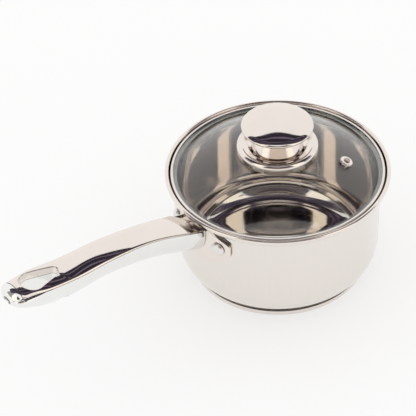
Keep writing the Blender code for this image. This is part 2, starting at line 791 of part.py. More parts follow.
def cap_line():
    """Middle line of the cap from the axis: crown, shoulder, edge curled under."""
    shoulder = math.radians(CAP_SHOULDER_TURN)
    reach = CAP_RADIUS - CAP_SHEET / 2 - CAP_CURL_RADIUS
    rest = CAP_CROWN_RADIUS - CAP_SHOULDER_RADIUS
    # The crown's own turn puts the curl's outside at the cap's radius
    turn = 0.0
    for _ in range(30):
        end = turn + shoulder
        across = rest * math.sin(turn) + (CAP_SHOULDER_RADIUS - CAP_CURL_RADIUS) * math.sin(end)
        turn += (reach - across) / CAP_CROWN_RADIUS
    turn = math.degrees(turn)
    high = crown_height(0, 1) + KNOB_HEIGHT - CAP_SHEET / 2
    moves = [(CAP_CROWN_RADIUS, -turn), (CAP_SHOULDER_RADIUS, -CAP_SHOULDER_TURN)]
    return path((0.0, high), 0.0, moves + [(CAP_CURL_RADIUS, -CAP_CURL_TURN)])


def make_cap(knob):
    upper, lower = sides(*cap_line(), CAP_SHEET)
    place("knob_cap", turned(lower + upper[::-1], KNOB_STEPS), polished_steel("cap_steel"), knob)


def dish_line():
    """Middle line of the dish from its hole: floor, side, edge rolled over and down."""
    half = DISH_SHEET / 2
    hole = SCREW_RADIUS + GAP
    curl = DISH_CURL_RADIUS
    bend = DISH_BEND_RADIUS
    low = dish_floor() + half
    outer = DISH_RADIUS - half
    sine = math.sin(math.radians(DISH_SLOPE))
    cosine = math.cos(math.radians(DISH_SLOPE))
    side = (DISH_DEPTH - bend * (1 - cosine)) / sine
    across = bend * sine + side * cosine
    flat = outer - hole - across - curl * (sine + 1.0)
    foot = crown_height(DISH_RADIUS, 1) + DISH_FOOT_SPACE
    drop = low + DISH_DEPTH - curl * cosine - foot
    moves = [(flat,), (bend, DISH_SLOPE), (side,), (curl, -90.0 - DISH_SLOPE), (drop,)]
    return path((hole, low), 0.0, moves)


def make_dish(knob):
    """Shallow polished dish under the knob, its edge rolled over and down to the glass."""
    line = sheet(*dish_line(), DISH_SHEET)
    place("knob_dish", turned(line, KNOB_STEPS), polished_steel("dish_steel"), knob)


def dish_top(radius):
    """Height of the dish's upper side at a radius."""
    return height_at(sides(*dish_line(), DISH_SHEET)[0], radius)


def make_neck(knob):
    """Tube between the dish and the cap, widening like a cone to its foot."""
    half = NECK_SHEET / 2
    turn = math.radians(NECK_FLARE_TURN)
    foot = NECK_FOOT_RADIUS - half * math.cos(turn)
    low = dish_top(NECK_FOOT_RADIUS) + GAP + half * math.sin(turn)
    across = foot - (NECK_RADIUS - half) - NECK_FLARE_RADIUS * (1 - math.cos(turn))
    upward = [(across / math.sin(turn),), (NECK_FLARE_RADIUS, -NECK_FLARE_TURN)]
    flare = [(NECK_TOP_FLARE, -40.0)]
    base, _ = path((foot, low), 90.0 + NECK_FLARE_TURN, upward)
    crest, _ = path((0.0, 0.0), 90.0, flare)
    _, ceiling = sides(*cap_line(), CAP_SHEET)
    top_radius = base[-1][0] + crest[-1][0] + NECK_SHEET
    high = height_at(ceiling, top_radius) - GAP - NECK_SHEET / 2
    straight = high - base[-1][1] - crest[-1][1]
    line = path((foot, low), 90.0 + NECK_FLARE_TURN, upward + [(straight,)] + flare)
    place("knob_neck", turned(sheet(*line, NECK_SHEET), KNOB_STEPS), polished_steel("neck_steel"), knob)


def make_insert(knob):
    """Threaded core inside the neck that the screw pulls on."""
    low = dish_floor() + DISH_SHEET + GAP
    _, ceiling = sides(*cap_line(), CAP_SHEET)
    high = height_at(ceiling, INSERT_RADIUS) - GAP
    bore = SCREW_RADIUS + GAP
    depth = low + SCREW_GRIP + 2 * MM
    points = [(0, depth + MM), (bore, depth), (bore, low)]
    points += [(INSERT_RADIUS, low), (INSERT_RADIUS, high), (0, high)]
    mat = material("insert_metal", (0.70, 0.70, 0.72), 0.4, 1.0)
    place("knob_insert", turned(points, SMALL_STEPS), mat, knob)


def make_fixing(knob):
    """Screw, washer and soft rings that clamp the glass."""
    seal = dish_floor() - GAP
    hole = SCREW_RADIUS + GAP
    ring = rectangle_ring(GLASS_HOLE_RADIUS, KNOB_SEAL_RADIUS, seal_height(), seal)
    place("knob_upper_seal", turned(ring, KNOB_STEPS), silicone("upper_seal"), knob)

    below = crown_height(WASHER_RADIUS, -1) - GAP
    ring = rectangle_ring(hole, WASHER_RADIUS, below - KNOB_SEAL_THICKNESS, below)
    place("knob_lower_seal", turned(ring, KNOB_STEPS), silicone("lower_seal"), knob)

    under = below - KNOB_SEAL_THICKNESS - GAP
    ring = rectangle_ring(hole, WASHER_RADIUS, under - WASHER_THICKNESS, under)
    place("screw_washer", turned(ring, KNOB_STEPS), plain_steel("washer_steel"), knob)

    head = under - WASHER_THICKNESS - GAP
    end = dish_floor() + DISH_SHEET + GAP + SCREW_GRIP
    wide = SCREW_HEAD_RADIUS
    tall = SCREW_HEAD_HEIGHT
    points = [(0, head - tall), (wide * 0.6, head - tall * 0.95), (wide * 0.9, head - tall * 0.6)]
    points += [(wide, head), (SCREW_RADIUS, head), (SCREW_RADIUS, end - SCREW_CHAMFER)]
    points += [(SCREW_RADIUS - SCREW_CHAMFER, end), (0, end)]
    screw = place("knob_screw", turned(points, SMALL_STEPS), plain_steel("screw_steel"), knob)
    slot = bmesh.new()
    size = Matrix.Diagonal((3 * SCREW_HEAD_RADIUS, SLOT_WIDTH, 2 * SLOT_DEPTH, 1))
    bmesh.ops.create_cube(slot, size=1.0, matrix=Matrix.Translation((0, 0, head - SCREW_HEAD_HEIGHT)) @ size)
    boolean(screw, cutter(slot))


def make_lid():
    lid = bpy.data.objects.new("lid_lift_axis", None)
    bpy.context.scene.collection.objects.link(lid)
    make_glass(lid)
    make_band(lid)
    make_vent(lid)
    make_cap(lid)
    make_dish(lid)
    make_neck(lid)
    make_insert(lid)
    make_fixing(lid)


def main():
    clear_scene()
    make_pan()
    make_base()
    make_handle()
    make_bracket()
    make_rivets()
    make_lid()


main()
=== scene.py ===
"""Looks of the saucepan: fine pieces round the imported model, finishes, light and camera."""

import math

import bmesh
import bpy
import numpy as np
from mathutils import Matrix, Vector


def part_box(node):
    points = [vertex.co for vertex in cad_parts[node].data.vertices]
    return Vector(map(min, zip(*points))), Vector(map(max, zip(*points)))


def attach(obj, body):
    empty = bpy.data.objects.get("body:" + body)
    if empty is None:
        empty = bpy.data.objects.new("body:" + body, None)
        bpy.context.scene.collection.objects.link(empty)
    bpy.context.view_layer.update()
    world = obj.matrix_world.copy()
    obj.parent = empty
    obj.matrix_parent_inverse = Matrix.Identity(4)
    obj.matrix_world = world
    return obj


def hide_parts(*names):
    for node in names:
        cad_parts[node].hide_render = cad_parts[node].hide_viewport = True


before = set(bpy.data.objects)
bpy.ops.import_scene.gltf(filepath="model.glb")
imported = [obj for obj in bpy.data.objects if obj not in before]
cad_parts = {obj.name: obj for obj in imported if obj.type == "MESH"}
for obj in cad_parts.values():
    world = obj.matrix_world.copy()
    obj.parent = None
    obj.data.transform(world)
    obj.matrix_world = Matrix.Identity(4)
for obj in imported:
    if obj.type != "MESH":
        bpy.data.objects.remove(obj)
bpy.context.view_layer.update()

MM = 0.001

# Round pieces
ROUND = 160
SMALL_ROUND = 64
BEND_STEP = 7.0  # degrees of a bend in one facet
LONG_STEP = 3.0 * MM  # longest facet of a bend
EDGE = 0.12 * MM  # softened cut edges of the sheets

GAP = 0.3 * MM  # between pieces that touch

# Pan
PAN_INNER_RADIUS = 80.0 * MM
RIM_HEIGHT = 94.0 * MM
PAN_LOW = 5.9 * MM
PAN_SHEET = 0.9 * MM
WALL_LEAN = 1.1
FLOOR_CORNER_RADIUS = 14.0 * MM
BELLY_RADIUS = 26.0 * MM
LEDGE = (4.0 * MM, 23.0, 0.4 * MM)  # bend radius, slope, length
STEP = (2.5 * MM, 76.0, 5.0 * MM)
LIP_CURL = (1.1 * MM, 200.0)
BASE_SHEET = 0.6 * MM
BASE_EDGE_RADIUS = 3.5 * MM

# Lid
GLASS_THICKNESS = 3.0 * MM
CROWN_RADIUS = 138.0 * MM
CROWN_BLEND_RADIUS = 8.0 * MM
GLASS_FLANGE = 2.2 * MM
GLASS_HOLE_RADIUS = 4.5 * MM
BAND_SHEET = 0.5 * MM
BAND_BEND_RADIUS = 0.55 * MM
BAND_TOP_WIDTH = 2.0 * MM
BAND_SKIRT_DEPTH = 6.0 * MM
BAND_FLOOR = 88.27 * MM  # the band's underside at rest
GLASS_EDGE_RADIUS = 82.48 * MM
SKIRT_RADIUS = 78.55 * MM
SHADED_BED_RADIUS = 82.3 * MM  # the band is rougher inside it, and painted dark grey there as painted shade under the glass edge
VENT_DISTANCE = 53.0 * MM
VENT_TURN = -47.0
VENT_BORE_RADIUS = 2.4 * MM
VENT_SHEET = 0.5 * MM
VENT_FLANGE_RADIUS = 5.1 * MM
VENT_GASKET = 0.6 * MM

# Knob
CAP_RADIUS = 28.0 * MM
CAP_SHEET = 0.8 * MM
CAP_CROWN_RADIUS = 75.0 * MM
CAP_SHOULDER = (10.0 * MM, 20.0)
CAP_CURL = (1.0 * MM, 130.0)
DISH_SHEET = 0.8 * MM
DISH_DEPTH = 1.8 * MM
DISH_BEND_RADIUS = 8.0 * MM
DISH_SLOPE = 24.0
DISH_CURL_RADIUS = 3.0 * MM
DISH_RADIUS = 31.8 * MM
DISH_FOOT_SPACE = 0.6 * MM
NECK_RADIUS = 15.4 * MM
NECK_SHEET = 0.8 * MM
NECK_FLARE_RADIUS = 5.5 * MM
NECK_FLARE_TURN = 28.0
NECK_FOOT_RADIUS = 20.0 * MM
NECK_TOP_FLARE = 4.0 * MM
NECK_TOP_TURN = 40.0
SCREW_RADIUS = 2.5 * MM
SCREW_HEAD_HEIGHT = 2.8 * MM
SCREW_CHAMFER = 0.6 * MM
THREAD_START = 3.0 * MM  # above the head
THREAD_PITCH = 0.8 * MM
THREAD_DEPTH = 0.35 * MM
SLOT_WIDTH = 1.2 * MM
SLOT_DEPTH = 1.2 * MM

# Handle
HANDLE_LENGTH = 172.0 * MM
HANDLE_SHEET = 1.2 * MM
HANDLE_CROWNS = [0.9 * MM, 1.7 * MM, 2.9 * MM, 3.7 * MM, 3.7 * MM]
HANDLE_FULLNESS = 2.4
HANDLE_WIDTHS = [29.0 * MM, 23.8 * MM, 26.2 * MM, 28.6 * MM, 28.6 * MM]
HANDLE_DEPTHS = [25.0 * MM, 23.0 * MM, 20.5 * MM, 16.5 * MM, 7.0 * MM]
HANDLE_RISES = [-11.3 * MM, 2.9 * MM, 7.4 * MM, 7.4 * MM, 11.2 * MM, 11.2 * MM]
TIP_ROUND = 15.0 * MM
TIP_SQUARENESS = 3.5
NOSE_LENGTH = 7.5 * MM
NOSE_DROP = 3.5 * MM
NOSE_STEP = 0.3 * MM
SHOULDER_WIDTH = 2.6 * MM
SHOULDER_LENGTH = 24.0 * MM
SHOULDER_DROP = 2.6 * MM
SHOULDER_SHARE = 0.09  # of the way round the channel, at each top edge
TOP_SETBACK = 5.5 * MM
TOP_BOW = 7.0 * MM
FLAT_SHARE = 0.88  # of the top face's columns that lie on its flat
HOLE_BEND = 1.0 * MM
HOLE_FAR_RADIUS = 10.0 * MM
HOLE_NEAR_RADIUS = 5.0 * MM
HOLE_LENGTH = 32.5 * MM
HOLE_TIP_MARGIN = 12.4 * MM
HOLE_FLANGE = 4.5 * MM
TOP_HOLE_SHARE = 0.86  # of the half width, within which faces make way for the hole
CHANNEL_HOLE_SHARE = 0.83
CHANNEL_FLOOR_SHARE = 0.45  # of the depth, below which the channel counts as its floor
HOLE_REACH_NEAR = 7.5 * MM  # faces that make way for the hole's bend, at its narrow end
HOLE_REACH_FAR = 2.6 * MM  # and at its wide end
TOP_EDGE_BEND = 0.7 * MM
ROOT_FADE = 8.0 * MM  # over which the channel's end takes up the wall's curve
TIP_TRIM = 0.1 * MM

# Bracket and rivets
BRACKET_SHEET = 2.0 * MM
BRACKET_HALF_WIDTH = 35.5 * MM
BRACKET_INNER_RADIUS = 81.19 * MM
BRACKET_TOP = 82.0 * MM
BRACKET_ROOT_HEIGHT = 31.0 * MM
BRACKET_END_HEIGHT = 15.0 * MM
BRACKET_TAPER_START = 0.4
BRACKET_SQUARENESS = 6.0
TONGUE_LENGTH = 34.0 * MM
TONGUE_SHEET = 1.6 * MM
TONGUE_DROP = 1.4 * MM
TONGUE_FILLET = 3.5 * MM
TONGUE_LIFT = 0.8 * MM
TONGUE_SIDES_SHARE = 0.7  # of the way round the tongue, down one side and up the other
TONGUE_TOP_SHARE = 0.3  # and over its top
TONGUE_ROOT_SHARE = 0.3  # of its length, over which it takes up the wall's curve
TONGUE_RISE_START = 0.02  # before and past these the edge rises with the top
TONGUE_RISE_END = 0.68
RIVET_SPACING = 50.0 * MM
RIVET_HEIGHT = 71.0 * MM
RIVET_HEAD_RADIUS = 5.7 * MM
RIVET_HEAD_HEIGHT = 3.0 * MM
RIVET_SHANK_RADIUS = 2.5 * MM
RIVET_INNER_RADIUS = 4.6 * MM
RIVET_INNER_HEIGHT = 1.2 * MM
INNER_RIVET_SEAT = 79.26 * MM

# Filling marks inside the wall
MARK_COUNT = 5
MARK_LOW = 34.0 * MM
MARK_RISE = 8.0 * MM
MARK_RADIUS = 79.0 * MM
MARK_TURN = 42.0
MARK_GAP = 9.0
MARK_LONG = 7.0 * MM
MARK_SHORT = 4.0 * MM
MARK_WIDTH = 0.9 * MM
MARK_DEPTH = 0.15 * MM

# Studio
FLOOR_RADIUS = 6.0
FLOOR_WHITE = 0.42
FLOOR_GLOW = 0.56
FLOOR_GLOW_COLOUR = (1.0, 1.0, 1.0)
ROOM_WHITE = (1.0, 0.995, 0.985)
PANEL_HEIGHT = 0.62
PANEL_FAR = 0.225
PANEL_BULGE = 0.022
PANEL_BULGE_WIDTH = 0.10
PANEL_NEAR = -0.15
PANEL_HALF = 0.8
FOLD_SCALE = 3.2
PATCH_DARK = (0.030, 0.025, 0.036)
PATCH_LIGHT = (0.17, 0.14, 0.20)
SCREEN_DISTANCE = 2.4
SCREENS = [  # name, first and last side turn, lowest and highest rise in degrees, colour
    ("tan_screen", 0.0, 38.0, 6.0, 25.0, (0.70, 0.60, 0.51)),
    ("dark_screen", 0.0, 42.0, 26.0, 66.0, (0.10, 0.09, 0.10)),
    ("cream_softbox", 45.0, 70.0, 8.0, 62.0, (1.25, 1.17, 1.02)),
    ("grey_screen", 72.0, 100.0, 12.0, 66.0, (0.36, 0.35, 0.35)),
]
CAMERA_TURN = 36.0
CAMERA_TILT = 40.167
CAMERA_ROLL = -2.067
CAMERA_AIM = (-0.04497, 0.03267, 0.05561)
CAMERA_DISTANCE = 1.7469
CAMERA_LENS = 190.38

# Places that follow from these sizes
ROOT = BRACKET_INNER_RADIUS + BRACKET_SHEET + GAP
TIP = PAN_INNER_RADIUS + PAN_SHEET + HANDLE_LENGTH
TOP_END = TIP - NOSE_LENGTH
BROAD = TIP - TIP_ROUND
HANDLE_PLACES = [PAN_INNER_RADIUS + place * MM for place in (0.0, 48.4, 90.0)] + [BROAD, TIP]
TOP_PLACES = [PAN_INNER_RADIUS + place * MM for place in (0.0, 48.4, 90.0, 114.0)] + [BROAD, TIP]
TOP_HEIGHTS = [RIM_HEIGHT + rise for rise in HANDLE_RISES]
HOLE_FAR = TIP - HOLE_TIP_MARGIN - HOLE_FAR_RADIUS
HOLE_NEAR = HOLE_FAR + HOLE_FAR_RADIUS - HOLE_LENGTH + HOLE_NEAR_RADIUS
HOLE_LOW = HOLE_NEAR - HOLE_REACH_NEAR
HOLE_HIGH = HOLE_FAR + HOLE_FAR_RADIUS + HOLE_REACH_FAR
DISH_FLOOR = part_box("knob_upper_seal")[1].z + GAP


# ---------------------------------------------------------------- mesh helpers


def loose(name, bm):
    """An object made of a bmesh, which is used up."""
    mesh = bpy.data.meshes.new(name)
    bm.to_mesh(mesh)
    bm.free()
    item = bpy.data.objects.new(name, mesh)
    bpy.context.scene.collection.objects.link(item)
    return item


def add_piece(name, bm, body, material, replaced=(), finish_slot=None, smooth_angle=35.0):
    """Make a bmesh a piece of the object: it rides on its body and stands for its CAD nodes."""
    piece = loose(name, bm)
    for each in material if isinstance(material, list) else [material]:
        piece.data.materials.append(each)
    piece.data.shade_smooth()
    piece.data.set_sharp_from_angle(angle=math.radians(smooth_angle))
    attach(piece, body)
    if replaced:
        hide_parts(*replaced)
    return piece


def settle(piece, smooth_angle=35.0):
    """Apply a piece's modifiers, so that its mesh is final, and mark its sharp edges."""
    graph = bpy.context.evaluated_depsgraph_get()
    mesh = bpy.data.meshes.new_from_object(piece.evaluated_get(graph))
    piece.modifiers.clear()
    piece.data = mesh
    mesh.shade_smooth()
    mesh.set_sharp_from_angle(angle=math.radians(smooth_angle))
    return piece


def thicken(piece, thickness, offset=0.0, inner_material=0):
    step = piece.modifiers.new("sheet", "SOLIDIFY")
    step.thickness = thickness
    step.offset = offset
    step.use_even_offset = True
    step.material_offset = inner_material


def sheet_piece(name, bm, body, steel, node, finish_slot, thickness, offset=0.0):
    """A piece of even thickness, made from its middle face or, at an offset of -1, its skin."""
    piece = add_piece(name, bm, body, steel, [node], finish_slot, 50)
    thicken(piece, thickness, offset)
    settle(piece, 50)


def soften(piece, width, segments=2):
    step = piece.modifiers.new("edges", "BEVEL")
    step.width = width
    step.segments = segments
    step.limit_method = "ANGLE"
    step.angle_limit = math.radians(40)
    step.harden_normals = False


def cut_out(piece, cutter, smooth_angle):
    """Cut a bmesh's shape out of a piece, and settle the piece."""
    tool = loose("tool", cutter)
    step = piece.modifiers.new("cut", "BOOLEAN")
    step.operation = "DIFFERENCE"
    step.object = tool
    settle(piece, smooth_angle)
    bpy.data.objects.remove(tool, do_unlink=True)


def bent_line(start, heading, moves):
    """A sheet's middle line in the XZ plane, drawn by extruding and spinning its last point.

    A move is (length,) for a straight, or (radius, turn) for a bend whose turn in degrees
    is positive to the left. Heading 0 is outwards and 90 is up.
    """
    bm = bmesh.new()
    tip = bm.verts.new((start[0], 0.0, start[1]))
    angle = math.radians(heading)
    for move in moves:
        if len(move) == 1:
            tip = bmesh.ops.extrude_vert_indiv(bm, verts=[tip])["verts"][0]
            way = Vector((math.cos(angle), 0.0, math.sin(angle)))
            bmesh.ops.translate(bm, verts=[tip], vec=way * move[0])
            continue
        radius, turn = move
        side = Vector((-math.sin(angle), 0.0, math.cos(angle))) * math.copysign(radius, turn)
        length = radius * math.radians(abs(turn))
        steps = max(3, math.ceil(abs(turn) / BEND_STEP), math.ceil(length / LONG_STEP))
        centre = tip.co + side
        made = bmesh.ops.spin(
            bm, geom=[tip], cent=centre, axis=(0, -1, 0), angle=math.radians(turn), steps=steps
        )
        tip = [item for item in made["geom_last"] if isinstance(item, bmesh.types.BMVert)][0]
        angle += math.radians(turn)
    return bm


def line_end(start, heading, moves):
    """Where a bent line ends, and its largest distance out and height."""
    bm = bent_line(start, heading, moves)
    bm.verts.ensure_lookup_table()
    end = bm.verts[len(bm.verts) - 1].co.copy()
    out = max(vert.co.x for vert in bm.verts)
    high = max(vert.co.z for vert in bm.verts)
    bm.free()
    return end, out, high


def spun(bm, steps=ROUND):
    """Turn a line about Z into a surface whose faces point away from its middle."""
    geom = bm.verts[:] + bm.edges[:]
    bmesh.ops.spin(
        bm, geom=geom, cent=(0, 0, 0), axis=(0, 0, 1), angle=math.tau, steps=steps, use_merge=True
    )
    bmesh.ops.remove_doubles(bm, verts=bm.verts, dist=1e-6)
    bmesh.ops.recalc_face_normals(bm, faces=bm.faces)
    return bm


def outline(points, steps=ROUND):
    """A solid turned from a few (distance from axis, height) points."""
    bm = bmesh.new()
    verts = [bm.verts.new((x, 0.0, z)) for x, z in points]
    for pair in zip(verts, verts[1:]):
        bm.edges.new(pair)
    if points[0][0] > 1e-7:
        bm.edges.new((verts[-1], verts[0]))
    return spun(bm, steps)


def square_ring(inner, outer, low, high, steps=ROUND):
    return outline([(inner, low), (outer, low), (outer, high), (inner, high)], steps)


def shaped_grid(along, across, place):
    """A grid whose points go where place(u, v) says, u along and v across from 0 to 1."""
    bm = bmesh.new()
    bmesh.ops.create_grid(bm, x_segments=along, y_segments=across, size=0.5)
    for vert in bm.verts:
        vert.co = place(vert.co.x + 0.5, vert.co.y + 0.5)
    return bm


def merged(bm, other):
    """Add another bmesh's faces to this one."""
    mesh = bpy.data.meshes.new("merged")
    other.to_mesh(mesh)
    other.free()
    bm.from_mesh(mesh)
    bpy.data.meshes.remove(mesh)
    return bm


# ---------------------------------------------------------------- finishes


class Finish:
    """A material under construction: a Principled shader and the nodes that feed it."""

    def __init__(self, name, colour, roughness, metallic=0.0, **sockets):
        self.material = bpy.data.materials.new(name)
        self.material.use_nodes = True
        self.tree = self.material.node_tree
        self.shader = self.tree.nodes["Principled BSDF"]
        self.shader.inputs["Base Color"].default_value = (*colour, 1.0)
        self.shader.inputs["Roughness"].default_value = roughness
        self.shader.inputs["Metallic"].default_value = metallic
        for socket, value in sockets.items():
            self.shader.inputs[socket.replace("_", " ")].default_value = value
        self.place = self.node("ShaderNodeTexCoord").outputs["Object"]

    def node(self, kind, **settings):
        node = self.tree.nodes.new(kind)
        for key, value in settings.items():
            setattr(node, key, value)
        return node

    def link(self, source, target):
        self.tree.links.new(source, target)

    def feed(self, target, value):
        if isinstance(value, (int, float)):
            target.default_value = value
        else:
            self.link(value, target)

    def put(self, socket, value):
        """Feed one of the shader's own sockets."""
        self.link(value, self.shader.inputs[socket])

    def maths(self, operation, first, second=0.0):
        node = self.node("ShaderNodeMath", operation=operation)
        for target, value in zip(node.inputs, (first, second)):
            self.feed(target, value)
        return node.outputs[0]

    def dulled(self, roughness, *marks):
        """Feed the roughness: a number, and each kind of mark times its share."""
        first, *others = [self.maths("MULTIPLY", value, share) for value, share in marks]
        for other in others:
            first = self.maths("ADD", first, other)
        self.put("Roughness", self.maths("ADD", first, roughness))

    def axes(self):
        node = self.node("ShaderNodeSeparateXYZ")
        self.link(self.place, node.inputs[0])
        return node.outputs

    def mapped(self, socket, value):
        """Coordinates scaled axis by axis, or turned."""
        node = self.node("ShaderNodeMapping")
        node.inputs[socket].default_value = value
        self.link(self.place, node.inputs["Vector"])
        return node.outputs[0]

    def around(self, turns, upwards, outwards=0.0):
        """Coordinates that run round the Z axis, up it and out from it, for marks of turning."""
        x, y, z = self.axes()
        node = self.node("ShaderNodeCombineXYZ")
        self.link(self.maths("MULTIPLY", self.maths("ARCTAN2", y, x), turns), node.inputs[0])
        self.link(self.maths("MULTIPLY", z, upwards), node.inputs[1])
        self.link(self.maths("MULTIPLY", self.distance(), outwards), node.inputs[2])
        return node.outputs[0]

    def distance(self):
        """Distance from the Z axis."""
        x, y, _ = self.axes()
        squares = self.maths("ADD", self.maths("MULTIPLY", x, x), self.maths("MULTIPLY", y, y))
        return self.maths("SQRT", squares)

    def noise(self, scale, place=None, detail=3.0, roughness=0.55):
        node = self.node("ShaderNodeTexNoise")
        node.inputs["Scale"].default_value = scale
        node.inputs["Detail"].default_value = detail
        node.inputs["Roughness"].default_value = roughness
        self.link(place or self.place, node.inputs["Vector"])
        return node.outputs[0]

    def spread(self, value, low, high, start=0.0, end=1.0):
        """A value spread smoothly from start-end to low-high."""
        node = self.node("ShaderNodeMapRange", interpolation_type="SMOOTHSTEP")
        for target, number in zip(node.inputs[1:5], (start, end, low, high)):
            target.default_value = number
        self.link(value, node.inputs[0])
        return node.outputs[0]

    def blend(self, factor, first, second):
        """Mix two colours."""
        node = self.node("ShaderNodeMix", data_type="RGBA")
        self.feed(node.inputs[0], factor)
        for target, value in ((node.inputs[6], first), (node.inputs[7], second)):
            if isinstance(value, tuple):
                target.default_value = (*value, 1.0)
            else:
                self.link(value, target)
        return node.outputs[2]

    def bump(self, height, strength, depth, under=None):
        node = self.node("ShaderNodeBump")
        node.inputs["Strength"].default_value = strength
        node.inputs["Distance"].default_value = depth
        self.link(height, node.inputs["Height"])
        if under is not None:
            self.link(under, node.inputs["Normal"])
        return node.outputs[0]

    def wear(self):
        """Where convex edges are rubbed: 0 on faces, 1 on edges."""
        pointed = self.node("ShaderNodeNewGeometry").outputs["Pointiness"]
        return self.spread(pointed, 0.0, 1.0, 0.51, 0.60)


STEEL = (0.86, 0.79, 0.74)
BAND_STEEL = (0.80, 0.75, 0.72)


def mirror_steel(name, colour=STEEL, roughness=0.045, marks=(1.0, 1.0, 1.0), hazed=0.05):
    """Polished steel: soft haze, hairline polishing marks, edges rubbed a little duller."""
    steel = Finish(name, colour, roughness, 1.0)
    haze = steel.noise(45.0, detail=5.0)
    hairs = steel.noise(1.0, steel.mapped("Scale", tuple(900.0 * mark for mark in marks)), 2.0)
    haziest = steel.spread(haze, 0.0, 1.0, 0.45, 0.75)
    steel.dulled(roughness, (haziest, hazed), (hairs, 0.03), (steel.wear(), 0.08))
    darker = tuple(part * 0.93 for part in colour)
    steel.put("Base Color", steel.blend(haze, colour, darker))
    wavy = steel.bump(steel.noise(22.0, detail=1.0), 0.12, 0.08 * MM)
    steel.put("Normal", steel.bump(hairs, 0.06, 0.01 * MM, wavy))
    return steel.material


def band_finish():
    """Polished steel band whose bed under the glass is left rougher from the press, and painted
    dark grey as painted shade under the glass edge.
    """
    steel = Finish("band_steel", BAND_STEEL, 0.06, 1.0)
    # Inside the bed radius the colour is painted dark grey, as painted shade under the glass edge;
    # the roughness rises there too.
    shaded_bed = steel.spread(steel.distance(), 1.0, 0.0, SHADED_BED_RADIUS - 0.3 * MM, SHADED_BED_RADIUS)
    rings = steel.noise(1.0, steel.around(2.0, 2500.0, 2500.0), 2.0)
    steel.dulled(0.05, (shaded_bed, 0.30), (rings, 0.05), (steel.wear(), 0.08))
    steel.put("Base Color", steel.blend(shaded_bed, BAND_STEEL, (0.36, 0.35, 0.34)))
    steel.put("Normal", steel.bump(rings, 0.08, 0.01 * MM))
    return steel.material


def turned_steel(name, colour, roughness):
    """Satin steel with fine turning rings."""
    steel = Finish(name, colour, roughness, 1.0)
    rings = steel.noise(1.0, steel.around(2.0, 4000.0, 4000.0), 2.0)
    haze = steel.noise(300.0, detail=4.0)
    steel.dulled(roughness - 0.08, (rings, 0.12), (haze, 0.10), (steel.wear(), 0.1))
    steel.put("Normal", steel.bump(rings, 0.15, 0.02 * MM))
    return steel.material


def pan_inside_steel():
    """Inside of the pan: upright polishing strokes on the wall, rings on the floor."""
    steel = Finish("pan_inside_steel", (0.82, 0.76, 0.71), 0.09, 1.0)
    strokes = steel.noise(1.0, steel.around(170.0, 18.0), 4.0, 0.7)
    fine = steel.noise(1.0, steel.around(700.0, 60.0), 2.0)
    rings = steel.noise(1.0, steel.around(1.5, 900.0, 1400.0), 3.0)
    _, _, height = steel.axes()
    on_wall = steel.spread(height, 0.0, 1.0, 0.020, 0.034)
    mixed = steel.node("ShaderNodeMix")
    steel.link(on_wall, mixed.inputs[0])
    steel.link(rings, mixed.inputs[2])
    steel.link(strokes, mixed.inputs[3])
    marks = mixed.outputs[0]
    steel.dulled(0.02, (marks, 0.16), (fine, 0.05))
    steel.put("Base Color", steel.blend(marks, (0.86, 0.82, 0.77), (0.78, 0.74, 0.69)))
    steel.put("Normal", steel.bump(marks, 0.22, 0.05 * MM, steel.bump(fine, 0.1, 0.01 * MM)))
    return steel.material


def clear_glass():
    """Tempered glass, faintly grey-green, with the slight waves and dust of a used lid."""
    glass = Finish("clear_glass", (0.955, 0.972, 0.965), 0.0, 0.0, Transmission_Weight=1.0, IOR=1.5)
    dust = glass.noise(60.0, detail=6.0)
    glass.put("Roughness", glass.spread(dust, 0.0, 0.035, 0.5, 0.85))
    glass.put("Normal", glass.bump(glass.noise(14.0, detail=1.0), 0.05, 0.1 * MM))
    return glass.material


def silicone():
    """Translucent grey silicone with a dusty, matt surface."""
    rubber = Finish("silicone_grey", (0.62, 0.61, 0.59), 0.5, 0.0, Subsurface_Weight=0.2)
    grain = rubber.noise(1800.0, detail=3.0)
    mottled = rubber.noise(120.0, detail=4.0)
    rubber.shader.inputs["Subsurface Scale"].default_value = 0.8 * MM
    rubber.put("Roughness", rubber.spread(grain, 0.42, 0.62))
    rubber.put("Base Color", rubber.blend(mottled, (0.66, 0.65, 0.63), (0.55, 0.54, 0.52)))
    rubber.put("Normal", rubber.bump(grain, 0.2, 0.03 * MM))
    return rubber.material


def plain_metal(name, colour, roughness):
    """Unpolished rolled or turned metal."""
    metal = Finish(name, colour, roughness, 1.0)
    rolled = metal.noise(1.0, metal.mapped("Scale", (2600.0, 120.0, 400.0)), 3.0)
    blotches = metal.noise(80.0, detail=5.0)
    metal.dulled(roughness - 0.1, (rolled, 0.15), (blotches, 0.1))
    darker = tuple(part * 0.85 for part in colour)
    metal.put("Base Color", metal.blend(blotches, colour, darker))
    metal.put("Normal", metal.bump(rolled, 0.2, 0.02 * MM))
    return metal.material


# ---------------------------------------------------------------- pan


def lip_moves():
    radius, slope, run = LEDGE
    step_radius, step_slope, step_run = STEP
    ledge = [(radius, slope - (90.0 - WALL_LEAN)), (run,)]
    step = [(step_radius, step_slope - slope), (step_run,)]
    return ledge + step + [(LIP_CURL[0], -LIP_CURL[1])]


def pan_line():
    """Start and moves of the pan's sheet: floor, corner, belly, leaning wall, ledge, curled lip."""
    half = PAN_SHEET / 2
    lean = math.radians(WALL_LEAN)
    _, _, lip_high = line_end((0.0, 0.0), 90.0 - WALL_LEAN, lip_moves())
    corner = [(FLOOR_CORNER_RADIUS, 45.0), (BELLY_RADIUS, 45.0 - WALL_LEAN)]
    bend, _, _ = line_end((0.0, 0.0), 0.0, corner)
    start = PAN_LOW + half
    wall = (RIM_HEIGHT - lip_high - half - start - bend.z) / math.cos(lean)
    floor = PAN_INNER_RADIUS + half - wall * math.sin(lean) - bend.x
    return (0.0, start), [(floor,)] + corner + [(wall,)] + lip_moves()


def make_pan(outside, inside):
    start, moves = pan_line()
    bm = spun(bent_line(start, 0.0, moves))
    pan = add_piece("pan_shell", bm, "pan", [outside, inside], ["pan_body"], "pan_steel")
    thicken(pan, PAN_SHEET, 0.0, 1)
    settle(pan)


